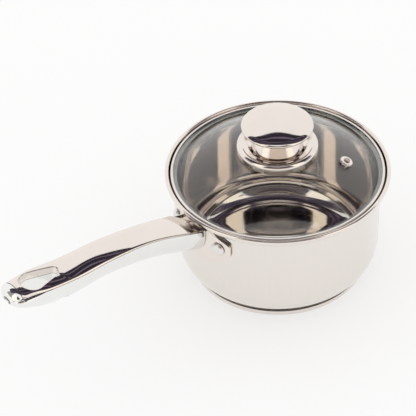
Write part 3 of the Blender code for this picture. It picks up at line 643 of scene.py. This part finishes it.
def make_base(steel):
    half = BASE_SHEET / 2
    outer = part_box("base_cap")[1].x
    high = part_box("base_cap")[1].z
    flat = outer - half - BASE_EDGE_RADIUS
    rise = high - half - BASE_EDGE_RADIUS
    bm = spun(bent_line((0.0, half), 0.0, [(flat,), (BASE_EDGE_RADIUS, 90.0), (rise,)]))
    base = add_piece("base_dish", bm, "pan", steel, ["base_cap"], "base_steel")
    thicken(base, BASE_SHEET)
    soften(base, EDGE)
    settle(base)


def make_level_marks(metal):
    """Short pressed strokes inside the wall that show the filling levels."""
    bm = bmesh.new()
    lean = math.tan(math.radians(WALL_LEAN))
    for number in range(MARK_COUNT):
        height = MARK_LOW + number * MARK_RISE
        radius = MARK_RADIUS + (height - MARK_LOW) * lean
        wide = MARK_LONG if number % 2 == 0 else MARK_SHORT
        turn = wide / radius
        for start in (MARK_TURN, MARK_TURN - MARK_GAP):
            low = bm.verts.new((radius, 0.0, height))
            high = bm.verts.new((radius + MARK_WIDTH * lean, 0.0, height + MARK_WIDTH))
            edge = bm.edges.new((low, high))
            spin_from = Matrix.Rotation(math.radians(start), 4, "Z")
            bmesh.ops.transform(bm, matrix=spin_from, verts=[low, high])
            bmesh.ops.spin(
                bm, geom=[low, high, edge], cent=(0, 0, 0), axis=(0, 0, 1), angle=-turn, steps=10
            )
    bmesh.ops.recalc_face_normals(bm, faces=bm.faces)
    marks = add_piece("filling_marks", bm, "pan", metal, finish_slot="pan_steel")
    thicken(marks, MARK_DEPTH)
    settle(marks)


# ---------------------------------------------------------------- handle


def smooth_curve(places, values):
    """A smooth curve through a few sizes: a cubic between each two, with shared slopes."""
    slopes = np.gradient(np.array(values), np.array(places))

    def at(x):
        i = int(np.clip(np.searchsorted(places, x) - 1, 0, len(places) - 2))
        span = places[i + 1] - places[i]
        t = (x - places[i]) / span
        a = (2 * t**3 - 3 * t**2 + 1) * values[i] + (t**3 - 2 * t**2 + t) * span * slopes[i]
        b = (3 * t**2 - 2 * t**3) * values[i + 1] + (t**3 - t**2) * span * slopes[i + 1]
        return float(a + b)

    return at


WIDTH_AT = smooth_curve(HANDLE_PLACES, HANDLE_WIDTHS)
DEPTH_AT = smooth_curve(HANDLE_PLACES, HANDLE_DEPTHS)
CROWN_AT = smooth_curve(HANDLE_PLACES, HANDLE_CROWNS)
TOP_AT = smooth_curve(TOP_PLACES, TOP_HEIGHTS)
HOLE_SPLIT = TOP_AT(TIP - HOLE_TIP_MARGIN - HOLE_LENGTH / 2) - HOLE_FLANGE


def half_width(x):
    rounding = min(1.0, max(0.0, (x - BROAD) / TIP_ROUND))
    return WIDTH_AT(x) / 2 * max(1e-6, 1.0 - rounding**TIP_SQUARENESS) ** (1 / TIP_SQUARENESS)


def shoulder(x):
    """How far the shoulder between the channel and the top face has formed: 0 to 1."""
    t = min(1.0, max(0.0, (x - TOP_END + SHOULDER_LENGTH) / SHOULDER_LENGTH))
    return t * t * (3 - 2 * t)


def plate_half(x):
    return half_width(x) - SHOULDER_WIDTH * shoulder(x)


def top_crown(x):
    """Rise of the top face's middle over its edges, which dies away over the nose."""
    past = max(0.0, (x - TOP_END) / NOSE_LENGTH)
    return CROWN_AT(x) * math.sqrt(max(0.0, 1.0 - past * past))


def plate_height(x, y):
    return TOP_AT(x) + top_crown(x) * (1.0 - (y / plate_half(x)) ** 2)


def section(x, inset, drop):
    """Half width, side height, cut height and depth of the channel at a distance along it."""
    past = max(0.0, (x - TOP_END) / NOSE_LENGTH)
    if x > TOP_END + GAP:
        drop = NOSE_STEP
    edge = TOP_AT(x) - NOSE_DROP * (1.0 - math.sqrt(max(0.0, 1.0 - past * past)))
    wide = edge - SHOULDER_DROP * shoulder(x)
    half = max(half_width(x) - inset, MM)
    deep = wide - (TOP_AT(x) - DEPTH_AT(x) + inset)
    return half, wide, edge - drop, deep


def channel_point(x, across, inset, drop):
    """A point of the channel's skin: across runs from one top edge (0) round to the other (1)."""
    half, wide, cut_at, deep = section(x, inset, drop)
    power = 2 / HANDLE_FULLNESS
    level = max(0.0, wide - cut_at) + 0.5 * MM
    first = math.asin((level / deep) ** (1 / power))
    if SHOULDER_SHARE <= across <= 1.0 - SHOULDER_SHARE:
        a = first + (math.pi - 2 * first) * (across - SHOULDER_SHARE) / (1.0 - 2 * SHOULDER_SHARE)
        c = math.cos(a)
        return half * math.copysign(abs(c) ** power, c), wide - deep * math.sin(a) ** power
    side = 1.0 if across < 0.5 else -1.0
    t = min(across, 1.0 - across) / SHOULDER_SHARE
    y1 = half * math.cos(first) ** power
    z1 = wide - deep * math.sin(first) ** power
    y0 = half - SHOULDER_WIDTH * shoulder(x)
    # A quarter of an oval from the top edge out to the side
    turn = math.radians(90.0 * t)
    return side * (y0 + (y1 - y0) * math.sin(turn)), z1 + (cut_at - z1) * math.cos(turn)


def hole_point(x, y, offset):
    """The nearest point of the hanging hole's edge, that far outside it."""
    sine = (HOLE_FAR_RADIUS - HOLE_NEAR_RADIUS) / (HOLE_FAR - HOLE_NEAR)
    cosine = math.sqrt(1.0 - sine * sine)
    across = abs(y)
    along = (x - HOLE_NEAR) * cosine + across * sine
    length = (HOLE_FAR - HOLE_NEAR) * cosine
    if 0.0 <= along <= length:
        foot = HOLE_NEAR + along * cosine
        rise = HOLE_NEAR_RADIUS + offset
        return foot - rise * sine, math.copysign(along * sine + rise * cosine, y)
    centre, radius = (HOLE_NEAR, HOLE_NEAR_RADIUS) if along < 0 else (HOLE_FAR, HOLE_FAR_RADIUS)
    way = Vector((x - centre, y)).normalized() * (radius + offset)
    return centre + way.x, way.y


def open_hole(bm, inside, height, turned_to, sign):
    """Cut the hanging hole in a handle skin and turn its edge into it over a small bend.

    inside tells which faces go, height is the skin's height, turned_to the height of the
    turned edge's end, and sign is -1 where it is turned down and 1 where it is turned up.
    """
    doomed = [face for face in bm.faces if inside(face.calc_center_median())]
    bmesh.ops.delete(bm, geom=doomed, context="FACES")
    rim = [edge for edge in bm.edges if edge.is_boundary and inside_rim(edge, inside)]
    rings = [(HOLE_BEND, 0.0)]
    for i in range(1, 7):
        turn = math.radians(15.0 * i)
        rings.append((HOLE_BEND * (1.0 - math.sin(turn)), HOLE_BEND * (1.0 - math.cos(turn))))
    for offset, drop in rings + [(0.0, None)]:
        made = bmesh.ops.extrude_edge_only(bm, edges=rim)["geom"]
        rim = [item for item in made if isinstance(item, bmesh.types.BMEdge)]
        ring = {vert for edge in rim for vert in edge.verts}
        for vert in ring:
            x, y = hole_point(-vert.co.x, vert.co.y, offset)
            z = turned_to if drop is None else height(x, y) + sign * drop
            vert.co = (-x, y, z)
        rim = [edge for edge in bm.edges if edge.is_boundary and set(edge.verts) <= ring]


def inside_rim(edge, inside):
    """Whether a boundary edge lies around the opening rather than round the outside."""
    middle = (edge.verts[0].co + edge.verts[1].co) / 2
    pull = (Vector((-(HOLE_FAR + HOLE_NEAR) / 2, 0.0, middle.z)) - middle).normalized() * MM
    return inside(middle + pull)


def top_columns(t):
    """Across the top face: its place as a share of the flat width, and the edge bend's turn."""
    share = min(1.0, abs(t) / FLAT_SHARE)
    turn = max(0.0, abs(t) - FLAT_SHARE) / (1.0 - FLAT_SHARE) * math.pi / 2
    return math.copysign(share, t), turn


def make_handle_top(steel):
    start = ROOT + TOP_SETBACK
    bend = TOP_EDGE_BEND

    def place(u, v):
        share, turn = top_columns(2.0 * v - 1.0)
        x = start + (TOP_END - start) * u
        bow = TOP_BOW * share * share * max(0.0, 1.0 - (x - start) / (5 * TOP_BOW))
        x = x + bow
        y = (plate_half(x) - bend) * share + math.copysign(bend * math.sin(turn), share)
        return -x, y, plate_height(x, y) - bend * (1.0 - math.cos(turn))

    bm = shaped_grid(130, 32, place)
    bmesh.ops.recalc_face_normals(bm, faces=bm.faces)

    def inside(point):
        x, y = -point.x, point.y
        return HOLE_LOW < x < HOLE_HIGH and abs(y) < plate_half(x) * TOP_HOLE_SHARE

    open_hole(bm, inside, plate_height, HOLE_SPLIT, -1)
    bmesh.ops.recalc_face_normals(bm, faces=bm.faces)
    if sum(face.normal.z for face in bm.faces) < 0:
        bmesh.ops.reverse_faces(bm, faces=bm.faces)
    node, slot = "handle_upper_shell", "handle_steel"
    sheet_piece("handle_top", bm, "pan", steel, node, slot, HANDLE_SHEET, -1.0)


def make_handle_channel(steel):
    """The channel below the top face; past that face it closes over the tip as a rounded nose."""
    seam = HANDLE_SHEET + GAP
    end = TIP - TIP_TRIM
    places = [ROOT + (TOP_END - GAP - ROOT) * i / 110 for i in range(111)]
    nose = [TOP_END + 1.1 * GAP]
    for i in range(1, 31):
        nose.append(nose[0] + (end - nose[0]) * math.sin(math.radians(3.0 * i)))
    every = places + nose
    across = 72

    def place(u, v):
        x = every[round(u * (len(every) - 1))]
        y, z = channel_point(x, v, 0.0, seam)
        if x >= ROOT + ROOT_FADE:
            return -x, y, z
        root = math.sqrt(max(0.0, ROOT * ROOT - y * y))
        fade = (x - ROOT) / ROOT_FADE
        return -(root * (1.0 - fade) + x * fade + (x - ROOT) * (1.0 - fade)), y, z

    bm = shaped_grid(len(every) - 1, across, place)

    def bottom(x, y):
        half, wide, _, deep = section(x, 0.0, seam)
        share = min(0.999, abs(y) / half)
        return wide - deep * (1.0 - share**HANDLE_FULLNESS) ** (1 / HANDLE_FULLNESS)

    def inside(point):
        x, y = -point.x, point.y
        half, wide, _, deep = section(x, 0.0, seam)
        on_floor = point.z < wide - deep * CHANNEL_FLOOR_SHARE
        return HOLE_LOW < x < HOLE_HIGH and abs(y) < half * CHANNEL_HOLE_SHARE and on_floor

    open_hole(bm, inside, bottom, HOLE_SPLIT - GAP, 1)

    def lid_place(u, v):
        x = nose[round(u * (len(nose) - 1))]
        y, z = channel_point(x, 0.0, 0.0, seam)
        t = 2.0 * v - 1.0
        return -x, y * t, z + top_crown(x) * (1.0 - t * t)

    bm = merged(bm, shaped_grid(len(nose) - 1, 24, lid_place))
    bmesh.ops.remove_doubles(bm, verts=bm.verts, dist=0.02 * MM)
    tip = [edge for edge in bm.edges if edge.is_boundary]
    tip = [edge for edge in tip if all(vert.co.x < -end + 1e-6 for vert in edge.verts)]
    bmesh.ops.holes_fill(bm, edges=tip, sides=0)
    bmesh.ops.recalc_face_normals(bm, faces=bm.faces)
    lowest = min(bm.faces, key=lambda face: face.calc_center_median().z)
    if lowest.normal.z > 0:
        bmesh.ops.reverse_faces(bm, faces=bm.faces)
    node, slot = "handle_lower_shell", "handle_steel"
    sheet_piece("handle_channel", bm, "pan", steel, node, slot, HANDLE_SHEET, -1.0)


def make_bracket(steel):
    """Riveted plate that follows the wall, with a hollow tongue that runs into the handle."""
    inner = BRACKET_INNER_RADIUS
    outer = inner + BRACKET_SHEET
    reach = math.asin(BRACKET_HALF_WIDTH / outer)
    middle_root = BRACKET_TOP - BRACKET_ROOT_HEIGHT / 2

    def flange(u, v):
        share = -math.cos(math.pi * (0.004 + 0.992 * u))
        size = abs(share)
        rounding = (1.0 - size**BRACKET_SQUARENESS) ** (1 / BRACKET_SQUARENESS)
        taper = max(0.0, (size - BRACKET_TAPER_START) / (1.0 - BRACKET_TAPER_START))
        taper = taper * taper * (3 - 2 * taper) * 0.35 + taper * 0.65
        height = BRACKET_ROOT_HEIGHT + (BRACKET_END_HEIGHT - BRACKET_ROOT_HEIGHT) * taper
        half = height / 2 * rounding
        middle = middle_root + (RIVET_HEIGHT - middle_root) * size
        a = math.pi + reach * share
        radius = inner + BRACKET_SHEET / 2
        return radius * math.cos(a), radius * math.sin(a), middle + half * (2.0 * v - 1.0)

    bm = shaped_grid(64, 12, flange)
    bmesh.ops.recalc_face_normals(bm, faces=bm.faces)
    plate = add_piece("bracket_plate", bm, "pan", steel, ["handle_bracket"], "bracket_steel")
    thicken(plate, BRACKET_SHEET)
    soften(plate, 0.55 * MM, 4)
    settle(plate, 40)

    inset = HANDLE_SHEET + GAP
    drop = HANDLE_SHEET + TONGUE_DROP
    root = outer - 0.4 * MM
    sides = TONGUE_SIDES_SHARE

    def tongue(u, v):
        x = root + TONGUE_LENGTH * u * (0.3 + 0.7 * u)
        if v <= sides:
            y, z = channel_point(x, v / sides, inset, drop)
        else:
            y, z = channel_point(x, 0.0, inset, drop)
            t = 1.0 - 2.0 * (v - sides) / TONGUE_TOP_SHARE
            y, z = -y * t, z + 0.6 * top_crown(x) * (1.0 - t * t)
        # The top rises into the plate over a soft fillet
        near = max(0.0, 1.0 - (x - root) / TONGUE_FILLET)
        lift = TONGUE_FILLET * (1.0 - math.sqrt(max(0.0, 1.0 - near * near)))
        if v > TONGUE_RISE_END or v < TONGUE_RISE_START:
            z += lift * (TONGUE_LIFT / TONGUE_FILLET)
        back = math.sqrt(max(0.0, x * x - y * y)) if u < TONGUE_ROOT_SHARE else x
        blend = max(0.0, 1.0 - u / TONGUE_ROOT_SHARE)
        return -(back * blend + x * (1.0 - blend)), y, z

    bm = shaped_grid(60, 100, tongue)
    bmesh.ops.remove_doubles(bm, verts=bm.verts, dist=0.01 * MM)
    bmesh.ops.recalc_face_normals(bm, faces=bm.faces)
    node, slot = "handle_bracket", "bracket_steel"
    sheet_piece("bracket_tongue", bm, "pan", steel, node, slot, TONGUE_SHEET, -1.0)


def rivet_place(side):
    turn = math.pi - side * math.asin(RIVET_SPACING / 2 / BRACKET_INNER_RADIUS)
    lift = Matrix.Translation((0, 0, RIVET_HEIGHT))
    return lift @ Matrix.Rotation(turn, 4, "Z") @ Matrix.Rotation(math.radians(90), 4, "Y")


def make_rivets(metal):
    outer = ROOT
    seat = INNER_RIVET_SEAT
    thick = RIVET_INNER_HEIGHT
    wide = RIVET_INNER_RADIUS
    for side, node in ((-1, "rivet_left"), (1, "rivet_right")):
        points = [(0.0, seat - thick), (wide * 0.72, seat - thick)]
        points += [(wide * 0.93, seat - thick * 0.7), (wide, seat - thick * 0.2), (wide, seat)]
        points += [(RIVET_SHANK_RADIUS, seat), (RIVET_SHANK_RADIUS, outer)]
        for i in range(17):
            a = math.radians(90 * i / 16)
            fall = RIVET_HEAD_HEIGHT * math.sin(a) ** 0.9
            points.append((RIVET_HEAD_RADIUS * math.cos(a), outer + fall))
        points[-1] = (0.0, points[-1][1])
        bm = outline(points, SMALL_ROUND)
        bmesh.ops.transform(bm, matrix=rivet_place(side), verts=bm.verts)
        add_piece("domed_" + node, bm, "pan", metal, [node], "rivet_steel", 50)


# ---------------------------------------------------------------- lid


def glass_moves():
    across = GLASS_EDGE_RADIUS - GLASS_FLANGE
    turn = math.degrees(math.asin(across / (CROWN_RADIUS + CROWN_BLEND_RADIUS)))
    return turn, [(CROWN_BLEND_RADIUS, turn), (GLASS_FLANGE,)]


def crown_centre():
    """Height of the centre that the glass's crown is drawn about."""
    turn, rest = glass_moves()
    edge, _, _ = line_end((0.0, 0.0), 0.0, [(CROWN_RADIUS, -turn)] + rest)
    return BAND_FLOOR + BAND_SHEET + GAP + GLASS_THICKNESS / 2 - edge.z - CROWN_RADIUS


CROWN_CENTRE = crown_centre()


def crown_height(radius, face):
    return CROWN_CENTRE + math.sqrt((CROWN_RADIUS + face * GLASS_THICKNESS / 2) ** 2 - radius**2)


def vent_place():
    lean = math.asin(VENT_DISTANCE / CROWN_RADIUS)
    turn = Matrix.Rotation(math.radians(VENT_TURN), 4, "Z")
    tilt = Matrix.Rotation(lean, 4, "Y")
    centre = Matrix.Translation((0, 0, CROWN_CENTRE))
    return centre @ turn @ tilt @ Matrix.Translation((0, 0, CROWN_RADIUS))


def make_glass(glass):
    turn, rest = glass_moves()
    first = math.degrees(math.asin(GLASS_HOLE_RADIUS / CROWN_RADIUS))
    start = (GLASS_HOLE_RADIUS, crown_height(GLASS_HOLE_RADIUS, 0))
    bm = spun(bent_line(start, -first, [(CROWN_RADIUS, -(turn - first))] + rest))
    piece = add_piece("lid_dome", bm, "lid", glass, ["lid_glass"], "clear_glass")
    thicken(piece, GLASS_THICKNESS)
    soften(piece, 0.5 * MM, 3)
    drill = bmesh.new()
    bore = VENT_BORE_RADIUS + VENT_SHEET + GAP
    length = 4 * GLASS_THICKNESS
    bmesh.ops.create_cone(
        drill, cap_ends=True, segments=SMALL_ROUND, radius1=bore, radius2=bore, depth=length
    )
    bmesh.ops.transform(drill, matrix=vent_place(), verts=drill.verts)
    cut_out(piece, drill, 30)


def make_band(steel, rubber):
    half = BAND_SHEET / 2
    bend = BAND_BEND_RADIUS
    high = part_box("lid_rim_band")[1]
    outer = high.x - half
    wall = high.z - BAND_FLOOR - BAND_SHEET - 2 * bend
    inward = outer - bend - SKIRT_RADIUS - bend
    start = (outer - bend - (BAND_TOP_WIDTH - bend - half), high.z - half)
    moves = [(outer - bend - start[0],), (bend, -90.0), (wall,), (bend, -90.0), (inward,)]
    bm = spun(bent_line(start, 0.0, moves + [(bend, 90.0), (BAND_SKIRT_DEPTH,)]))
    sheet_piece("lid_band", bm, "lid", steel, "lid_rim_band", "band_steel", BAND_SHEET)

    low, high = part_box("lid_rim_seal")
    inner = GLASS_EDGE_RADIUS + GAP
    bm = square_ring(inner, high.x, low.z, high.z)
    seal = add_piece("glass_edge_seal", bm, "lid", rubber, ["lid_rim_seal"], "silicone")
    soften(seal, EDGE)
    settle(seal)


def make_vent(metal, rubber):
    half = GLASS_THICKNESS / 2
    edge = VENT_FLANGE_RADIUS
    sag = edge**2 / (2 * CROWN_RADIUS)
    bore = VENT_BORE_RADIUS
    tube = bore + VENT_SHEET
    bottom = -half - sag - GAP - VENT_SHEET
    seat = half + VENT_GASKET + 2 * GAP
    points = [(bore, bottom), (edge - MM, bottom), (edge - MM, bottom + VENT_SHEET)]
    points += [(tube, bottom + VENT_SHEET), (tube, seat), (edge, seat), (edge, seat + 0.35 * MM)]
    points += [(edge - 0.2 * MM, seat + 0.62 * MM), (edge - 0.6 * MM, seat + 0.8 * MM)]
    points += [(tube + 0.4 * MM, seat + 0.9 * MM), (bore + 0.25 * MM, seat + 0.72 * MM)]
    points.append((bore, seat + 0.4 * MM))
    bm = outline(points, SMALL_ROUND)
    bmesh.ops.transform(bm, matrix=vent_place(), verts=bm.verts)
    add_piece("steam_eyelet", bm, "lid", metal, ["vent_eyelet"], "vent_steel", 40)

    low, high = half + GAP, half + GAP + VENT_GASKET
    bm = square_ring(tube + GAP, edge - 0.3 * MM, low, high, SMALL_ROUND)
    bmesh.ops.transform(bm, matrix=vent_place(), verts=bm.verts)
    gasket = add_piece("steam_gasket", bm, "lid", rubber, ["vent_gasket"], "silicone")
    soften(gasket, EDGE)
    settle(gasket)


# ---------------------------------------------------------------- knob


def cap_turn():
    """How far the cap's crown turns before its shoulder, for the curl to end at the edge."""
    shoulder_turn = math.radians(CAP_SHOULDER[1])
    reach = CAP_RADIUS - CAP_SHEET / 2 - CAP_CURL[0]
    turn = 0.0
    for _ in range(30):
        across = (CAP_CROWN_RADIUS - CAP_SHOULDER[0]) * math.sin(turn)
        across += (CAP_SHOULDER[0] - CAP_CURL[0]) * math.sin(turn + shoulder_turn)
        turn += (reach - across) / CAP_CROWN_RADIUS
    return math.degrees(turn)


def make_cap(steel):
    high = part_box("knob_cap")[1].z - CAP_SHEET / 2
    bends = (CAP_CROWN_RADIUS, cap_turn()), CAP_SHOULDER, CAP_CURL
    bm = spun(bent_line((0.0, high), 0.0, [(radius, -turn) for radius, turn in bends]))
    sheet_piece("knob_top", bm, "lid", steel, "knob_cap", "knob_steel", CAP_SHEET)


def make_dish(steel):
    half = DISH_SHEET / 2
    hole = SCREW_RADIUS + GAP
    curl = DISH_CURL_RADIUS
    bend = DISH_BEND_RADIUS
    low = DISH_FLOOR + half
    outer = DISH_RADIUS - half
    sine = math.sin(math.radians(DISH_SLOPE))
    cosine = math.cos(math.radians(DISH_SLOPE))
    side = (DISH_DEPTH - bend * (1 - cosine)) / sine
    flat = outer - hole - bend * sine - side * cosine - curl * (sine + 1.0)
    foot = crown_height(DISH_RADIUS, 1) + DISH_FOOT_SPACE
    drop = low + DISH_DEPTH - curl * cosine - foot
    moves = [(flat,), (bend, DISH_SLOPE), (side,), (curl, -90.0 - DISH_SLOPE), (drop,)]
    bm = spun(bent_line((hole, low), 0.0, moves))
    sheet_piece("knob_saucer", bm, "lid", steel, "knob_dish", "dish_steel", DISH_SHEET)


def make_neck(steel):
    half = NECK_SHEET / 2
    turn = math.radians(NECK_FLARE_TURN)
    low = DISH_FLOOR + DISH_SHEET + GAP + half * math.sin(turn)
    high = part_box("knob_neck")[1].z - half
    start = (NECK_FOOT_RADIUS - half * math.cos(turn), low)
    across = start[0] - (NECK_RADIUS - half) - NECK_FLARE_RADIUS * (1 - math.cos(turn))
    heading = 90.0 + NECK_FLARE_TURN
    upward = [(across / math.sin(turn),), (NECK_FLARE_RADIUS, -NECK_FLARE_TURN)]
    flare = [(NECK_TOP_FLARE, -NECK_TOP_TURN)]
    base, _, _ = line_end(start, heading, upward)
    crest, _, _ = line_end((0.0, 0.0), 90.0, flare)
    straight = high - base.z - crest.z
    bm = spun(bent_line(start, heading, upward + [(straight,)] + flare))
    sheet_piece("knob_stem", bm, "lid", steel, "knob_neck", "knob_steel", NECK_SHEET)


def make_fixing(metal, rubber):
    hole = SCREW_RADIUS + GAP
    for name, node, slot, material, inner in (
        ("upper_soft_ring", "knob_upper_seal", "silicone", rubber, GLASS_HOLE_RADIUS),
        ("lower_soft_ring", "knob_lower_seal", "silicone", rubber, hole),
        ("clamp_washer", "screw_washer", "screw_steel", metal, hole),
    ):
        low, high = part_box(node)
        bm = square_ring(inner, high.x, low.z, high.z, SMALL_ROUND)
        ring = add_piece(name, bm, "lid", material, [node], slot)
        soften(ring, 2 * EDGE, 3)
        settle(ring, 40)

    low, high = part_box("knob_screw")
    head = low.z + SCREW_HEAD_HEIGHT
    wide = high.x
    points = [(0.0, low.z)]
    for i in range(9):
        a = math.radians(90.0 * i / 8)
        out = wide * (0.55 + 0.45 * math.sin(a))
        points.append((out, head - SCREW_HEAD_HEIGHT * (0.25 + 0.75 * math.cos(a))))
    points += [(wide, head), (SCREW_RADIUS, head)]
    pitch = THREAD_PITCH
    height = head + THREAD_START
    while height + pitch < high.z - SCREW_CHAMFER:
        points += [(SCREW_RADIUS, height), (SCREW_RADIUS - THREAD_DEPTH, height + pitch * 0.5)]
        height += pitch
    points += [(SCREW_RADIUS, height), (SCREW_RADIUS - SCREW_CHAMFER, high.z), (0.0, high.z)]
    bm = outline(points, SMALL_ROUND)
    screw = add_piece("clamp_screw", bm, "lid", metal, ["knob_screw"], "screw_steel", 40)
    slot_cutter = bmesh.new()
    size = Matrix.Diagonal((3 * wide, SLOT_WIDTH, 2 * SLOT_DEPTH, 1))
    bmesh.ops.create_cube(slot_cutter, size=1.0, matrix=Matrix.Translation((0, 0, low.z)) @ size)
    cut_out(screw, slot_cutter, 40)


# ---------------------------------------------------------------- light, floor and camera


def glowing(name, white, glow, strength=1.0):
    """A matt finish that gives its own even light."""
    finish = Finish(name, (white, white, white), 1.0, Specular_IOR_Level=0.0)
    finish.shader.inputs["Emission Color"].default_value = (*glow, 1.0)
    finish.shader.inputs["Emission Strength"].default_value = strength
    return finish


def hang(name, bm, finish):
    """Put up a panel that shows only in polished surfaces."""
    panel = loose(name, bm)
    panel.data.materials.append(finish.material)
    panel.visible_camera = False
    panel.visible_diffuse = False
    panel.visible_shadow = False


def make_floor():
    """A pale matt floor that gives back most light evenly and keeps only a faint shadow."""
    bm = bmesh.new()
    bmesh.ops.create_circle(bm, cap_ends=True, segments=96, radius=FLOOR_RADIUS)
    floor = loose("studio_floor", bm)
    paper = glowing("pale_paper", FLOOR_WHITE, FLOOR_GLOW_COLOUR, FLOOR_GLOW)
    floor.data.materials.append(paper.material)


def make_surroundings():
    """An even white room."""
    world = bpy.data.worlds.new("studio")
    bpy.context.scene.world = world
    world.use_nodes = True
    glow = world.node_tree.nodes["Background"]
    glow.inputs["Color"].default_value = (*ROOM_WHITE, 1.0)
    glow.inputs["Strength"].default_value = 1.0


def make_ceiling():
    """A dark ceiling panel with faint wavy folds, its far edge bowed outwards in the middle."""
    turn = Matrix.Rotation(-math.radians(CAMERA_TURN), 4, "Z")
    bm = bmesh.new()
    bmesh.ops.create_grid(bm, x_segments=24, y_segments=24, size=0.5)
    for vert in bm.verts:
        across, along = vert.co.x * 2.0, vert.co.y + 0.5
        edge = PANEL_FAR + PANEL_BULGE * math.exp(-((across * PANEL_HALF / PANEL_BULGE_WIDTH) ** 2))
        vert.co = (across * PANEL_HALF, PANEL_NEAR + (edge - PANEL_NEAR) * along, PANEL_HEIGHT)
    bmesh.ops.transform(bm, matrix=turn, verts=bm.verts)
    cloth = glowing("dark_cloth", 0.0, PATCH_DARK)
    turned = cloth.mapped("Rotation", (0.0, 0.0, math.radians(CAMERA_TURN)))
    folds = cloth.node("ShaderNodeTexWave", bands_direction="Y", wave_profile="SIN")
    folds.inputs["Scale"].default_value = FOLD_SCALE
    folds.inputs["Distortion"].default_value = 5.0
    folds.inputs["Detail"].default_value = 2.0
    folds.inputs["Detail Scale"].default_value = 1.2
    cloth.link(turned, folds.inputs["Vector"])
    bright = cloth.spread(folds.outputs["Color"], 0.0, 1.0, 0.72, 0.98)
    cloth.put("Emission Color", cloth.blend(bright, PATCH_DARK, PATCH_LIGHT))
    hang("ceiling_panel", bm, cloth)


def make_screens():
    """Curved soft boxes and screens in front of the pan, one of each to either side."""
    for name, first, last, lowest, highest, colour in SCREENS:
        for side in (-1, 1):
            bm = bmesh.new()
            bmesh.ops.create_grid(bm, x_segments=16, y_segments=16, size=0.5)
            for vert in bm.verts:
                share = vert.co.x + 0.5
                away = math.radians(270.0 - CAMERA_TURN + side * (first + (last - first) * share))
                rise = math.radians(lowest + (highest - lowest) * (vert.co.y + 0.5))
                flat = SCREEN_DISTANCE * math.cos(rise)
                high = SCREEN_DISTANCE * math.sin(rise)
                vert.co = (flat * math.cos(away), flat * math.sin(away), high)
            full_name = f"{name}_right" if side > 0 else f"{name}_left"
            hang(full_name, bm, glowing(full_name, 0.0, colour))


def make_camera():
    turn = math.radians(CAMERA_TURN)
    tilt = math.radians(CAMERA_TILT)
    roll = math.radians(CAMERA_ROLL)
    level = math.cos(tilt)
    forward = Vector((level * math.sin(turn), level * math.cos(turn), -math.sin(tilt)))
    right = Vector((math.cos(turn), -math.sin(turn), 0.0))
    up = right.cross(forward)
    across = math.cos(roll) * right + math.sin(roll) * up
    upwards = -math.sin(roll) * right + math.cos(roll) * up
    frame_axes = Matrix((across, upwards, -forward)).transposed().to_4x4()
    data = bpy.data.cameras.new("front_camera")
    data.lens = CAMERA_LENS
    data.sensor_width = 36.0
    data.clip_start = 0.05
    data.clip_end = 50.0
    camera = bpy.data.objects.new("front_camera", data)
    place = Vector(CAMERA_AIM) - forward * CAMERA_DISTANCE
    camera.matrix_world = Matrix.Translation(place) @ frame_axes
    bpy.context.scene.collection.objects.link(camera)
    bpy.context.scene.camera = camera


def main():
    polished = mirror_steel("polished_steel")
    inside = pan_inside_steel()
    base_steel = mirror_steel("base_steel", (0.84, 0.78, 0.735), 0.07, hazed=0.09)
    handle_steel = mirror_steel("handle_steel", roughness=0.04, marks=(0.12, 1.0, 1.0))
    channel_steel = mirror_steel("channel_steel", (0.90, 0.90, 0.885), 0.04, (0.12, 1.0, 1.0))
    knob_steel = mirror_steel("knob_steel", roughness=0.035)
    band_steel = band_finish()
    satin = turned_steel("satin_steel", (0.80, 0.78, 0.765), 0.26)
    rubber = silicone()
    make_pan(polished, inside)
    make_base(base_steel)
    make_level_marks(polished)
    make_handle_top(handle_steel)
    make_handle_channel(channel_steel)
    make_bracket(handle_steel)
    make_rivets(satin)
    make_glass(clear_glass())
    make_band(band_steel, rubber)
    make_vent(polished, rubber)
    make_cap(knob_steel)
    make_dish(knob_steel)
    make_neck(knob_steel)
    make_fixing(satin, rubber)
    for node, metal in (
        ("heat_spreader_disc", plain_metal("aluminium_core", (0.74, 0.74, 0.75), 0.42)),
        ("knob_insert", plain_metal("insert_aluminium", (0.70, 0.70, 0.72), 0.38)),
    ):
        item = bpy.data.objects[node]
        for slot in item.material_slots:
            slot.material = metal
    make_floor()
    make_surroundings()
    make_ceiling()
    make_screens()
    make_camera()
    view = bpy.context.scene.view_settings
    view.view_transform = "Standard"
    view.look = "None"


main()
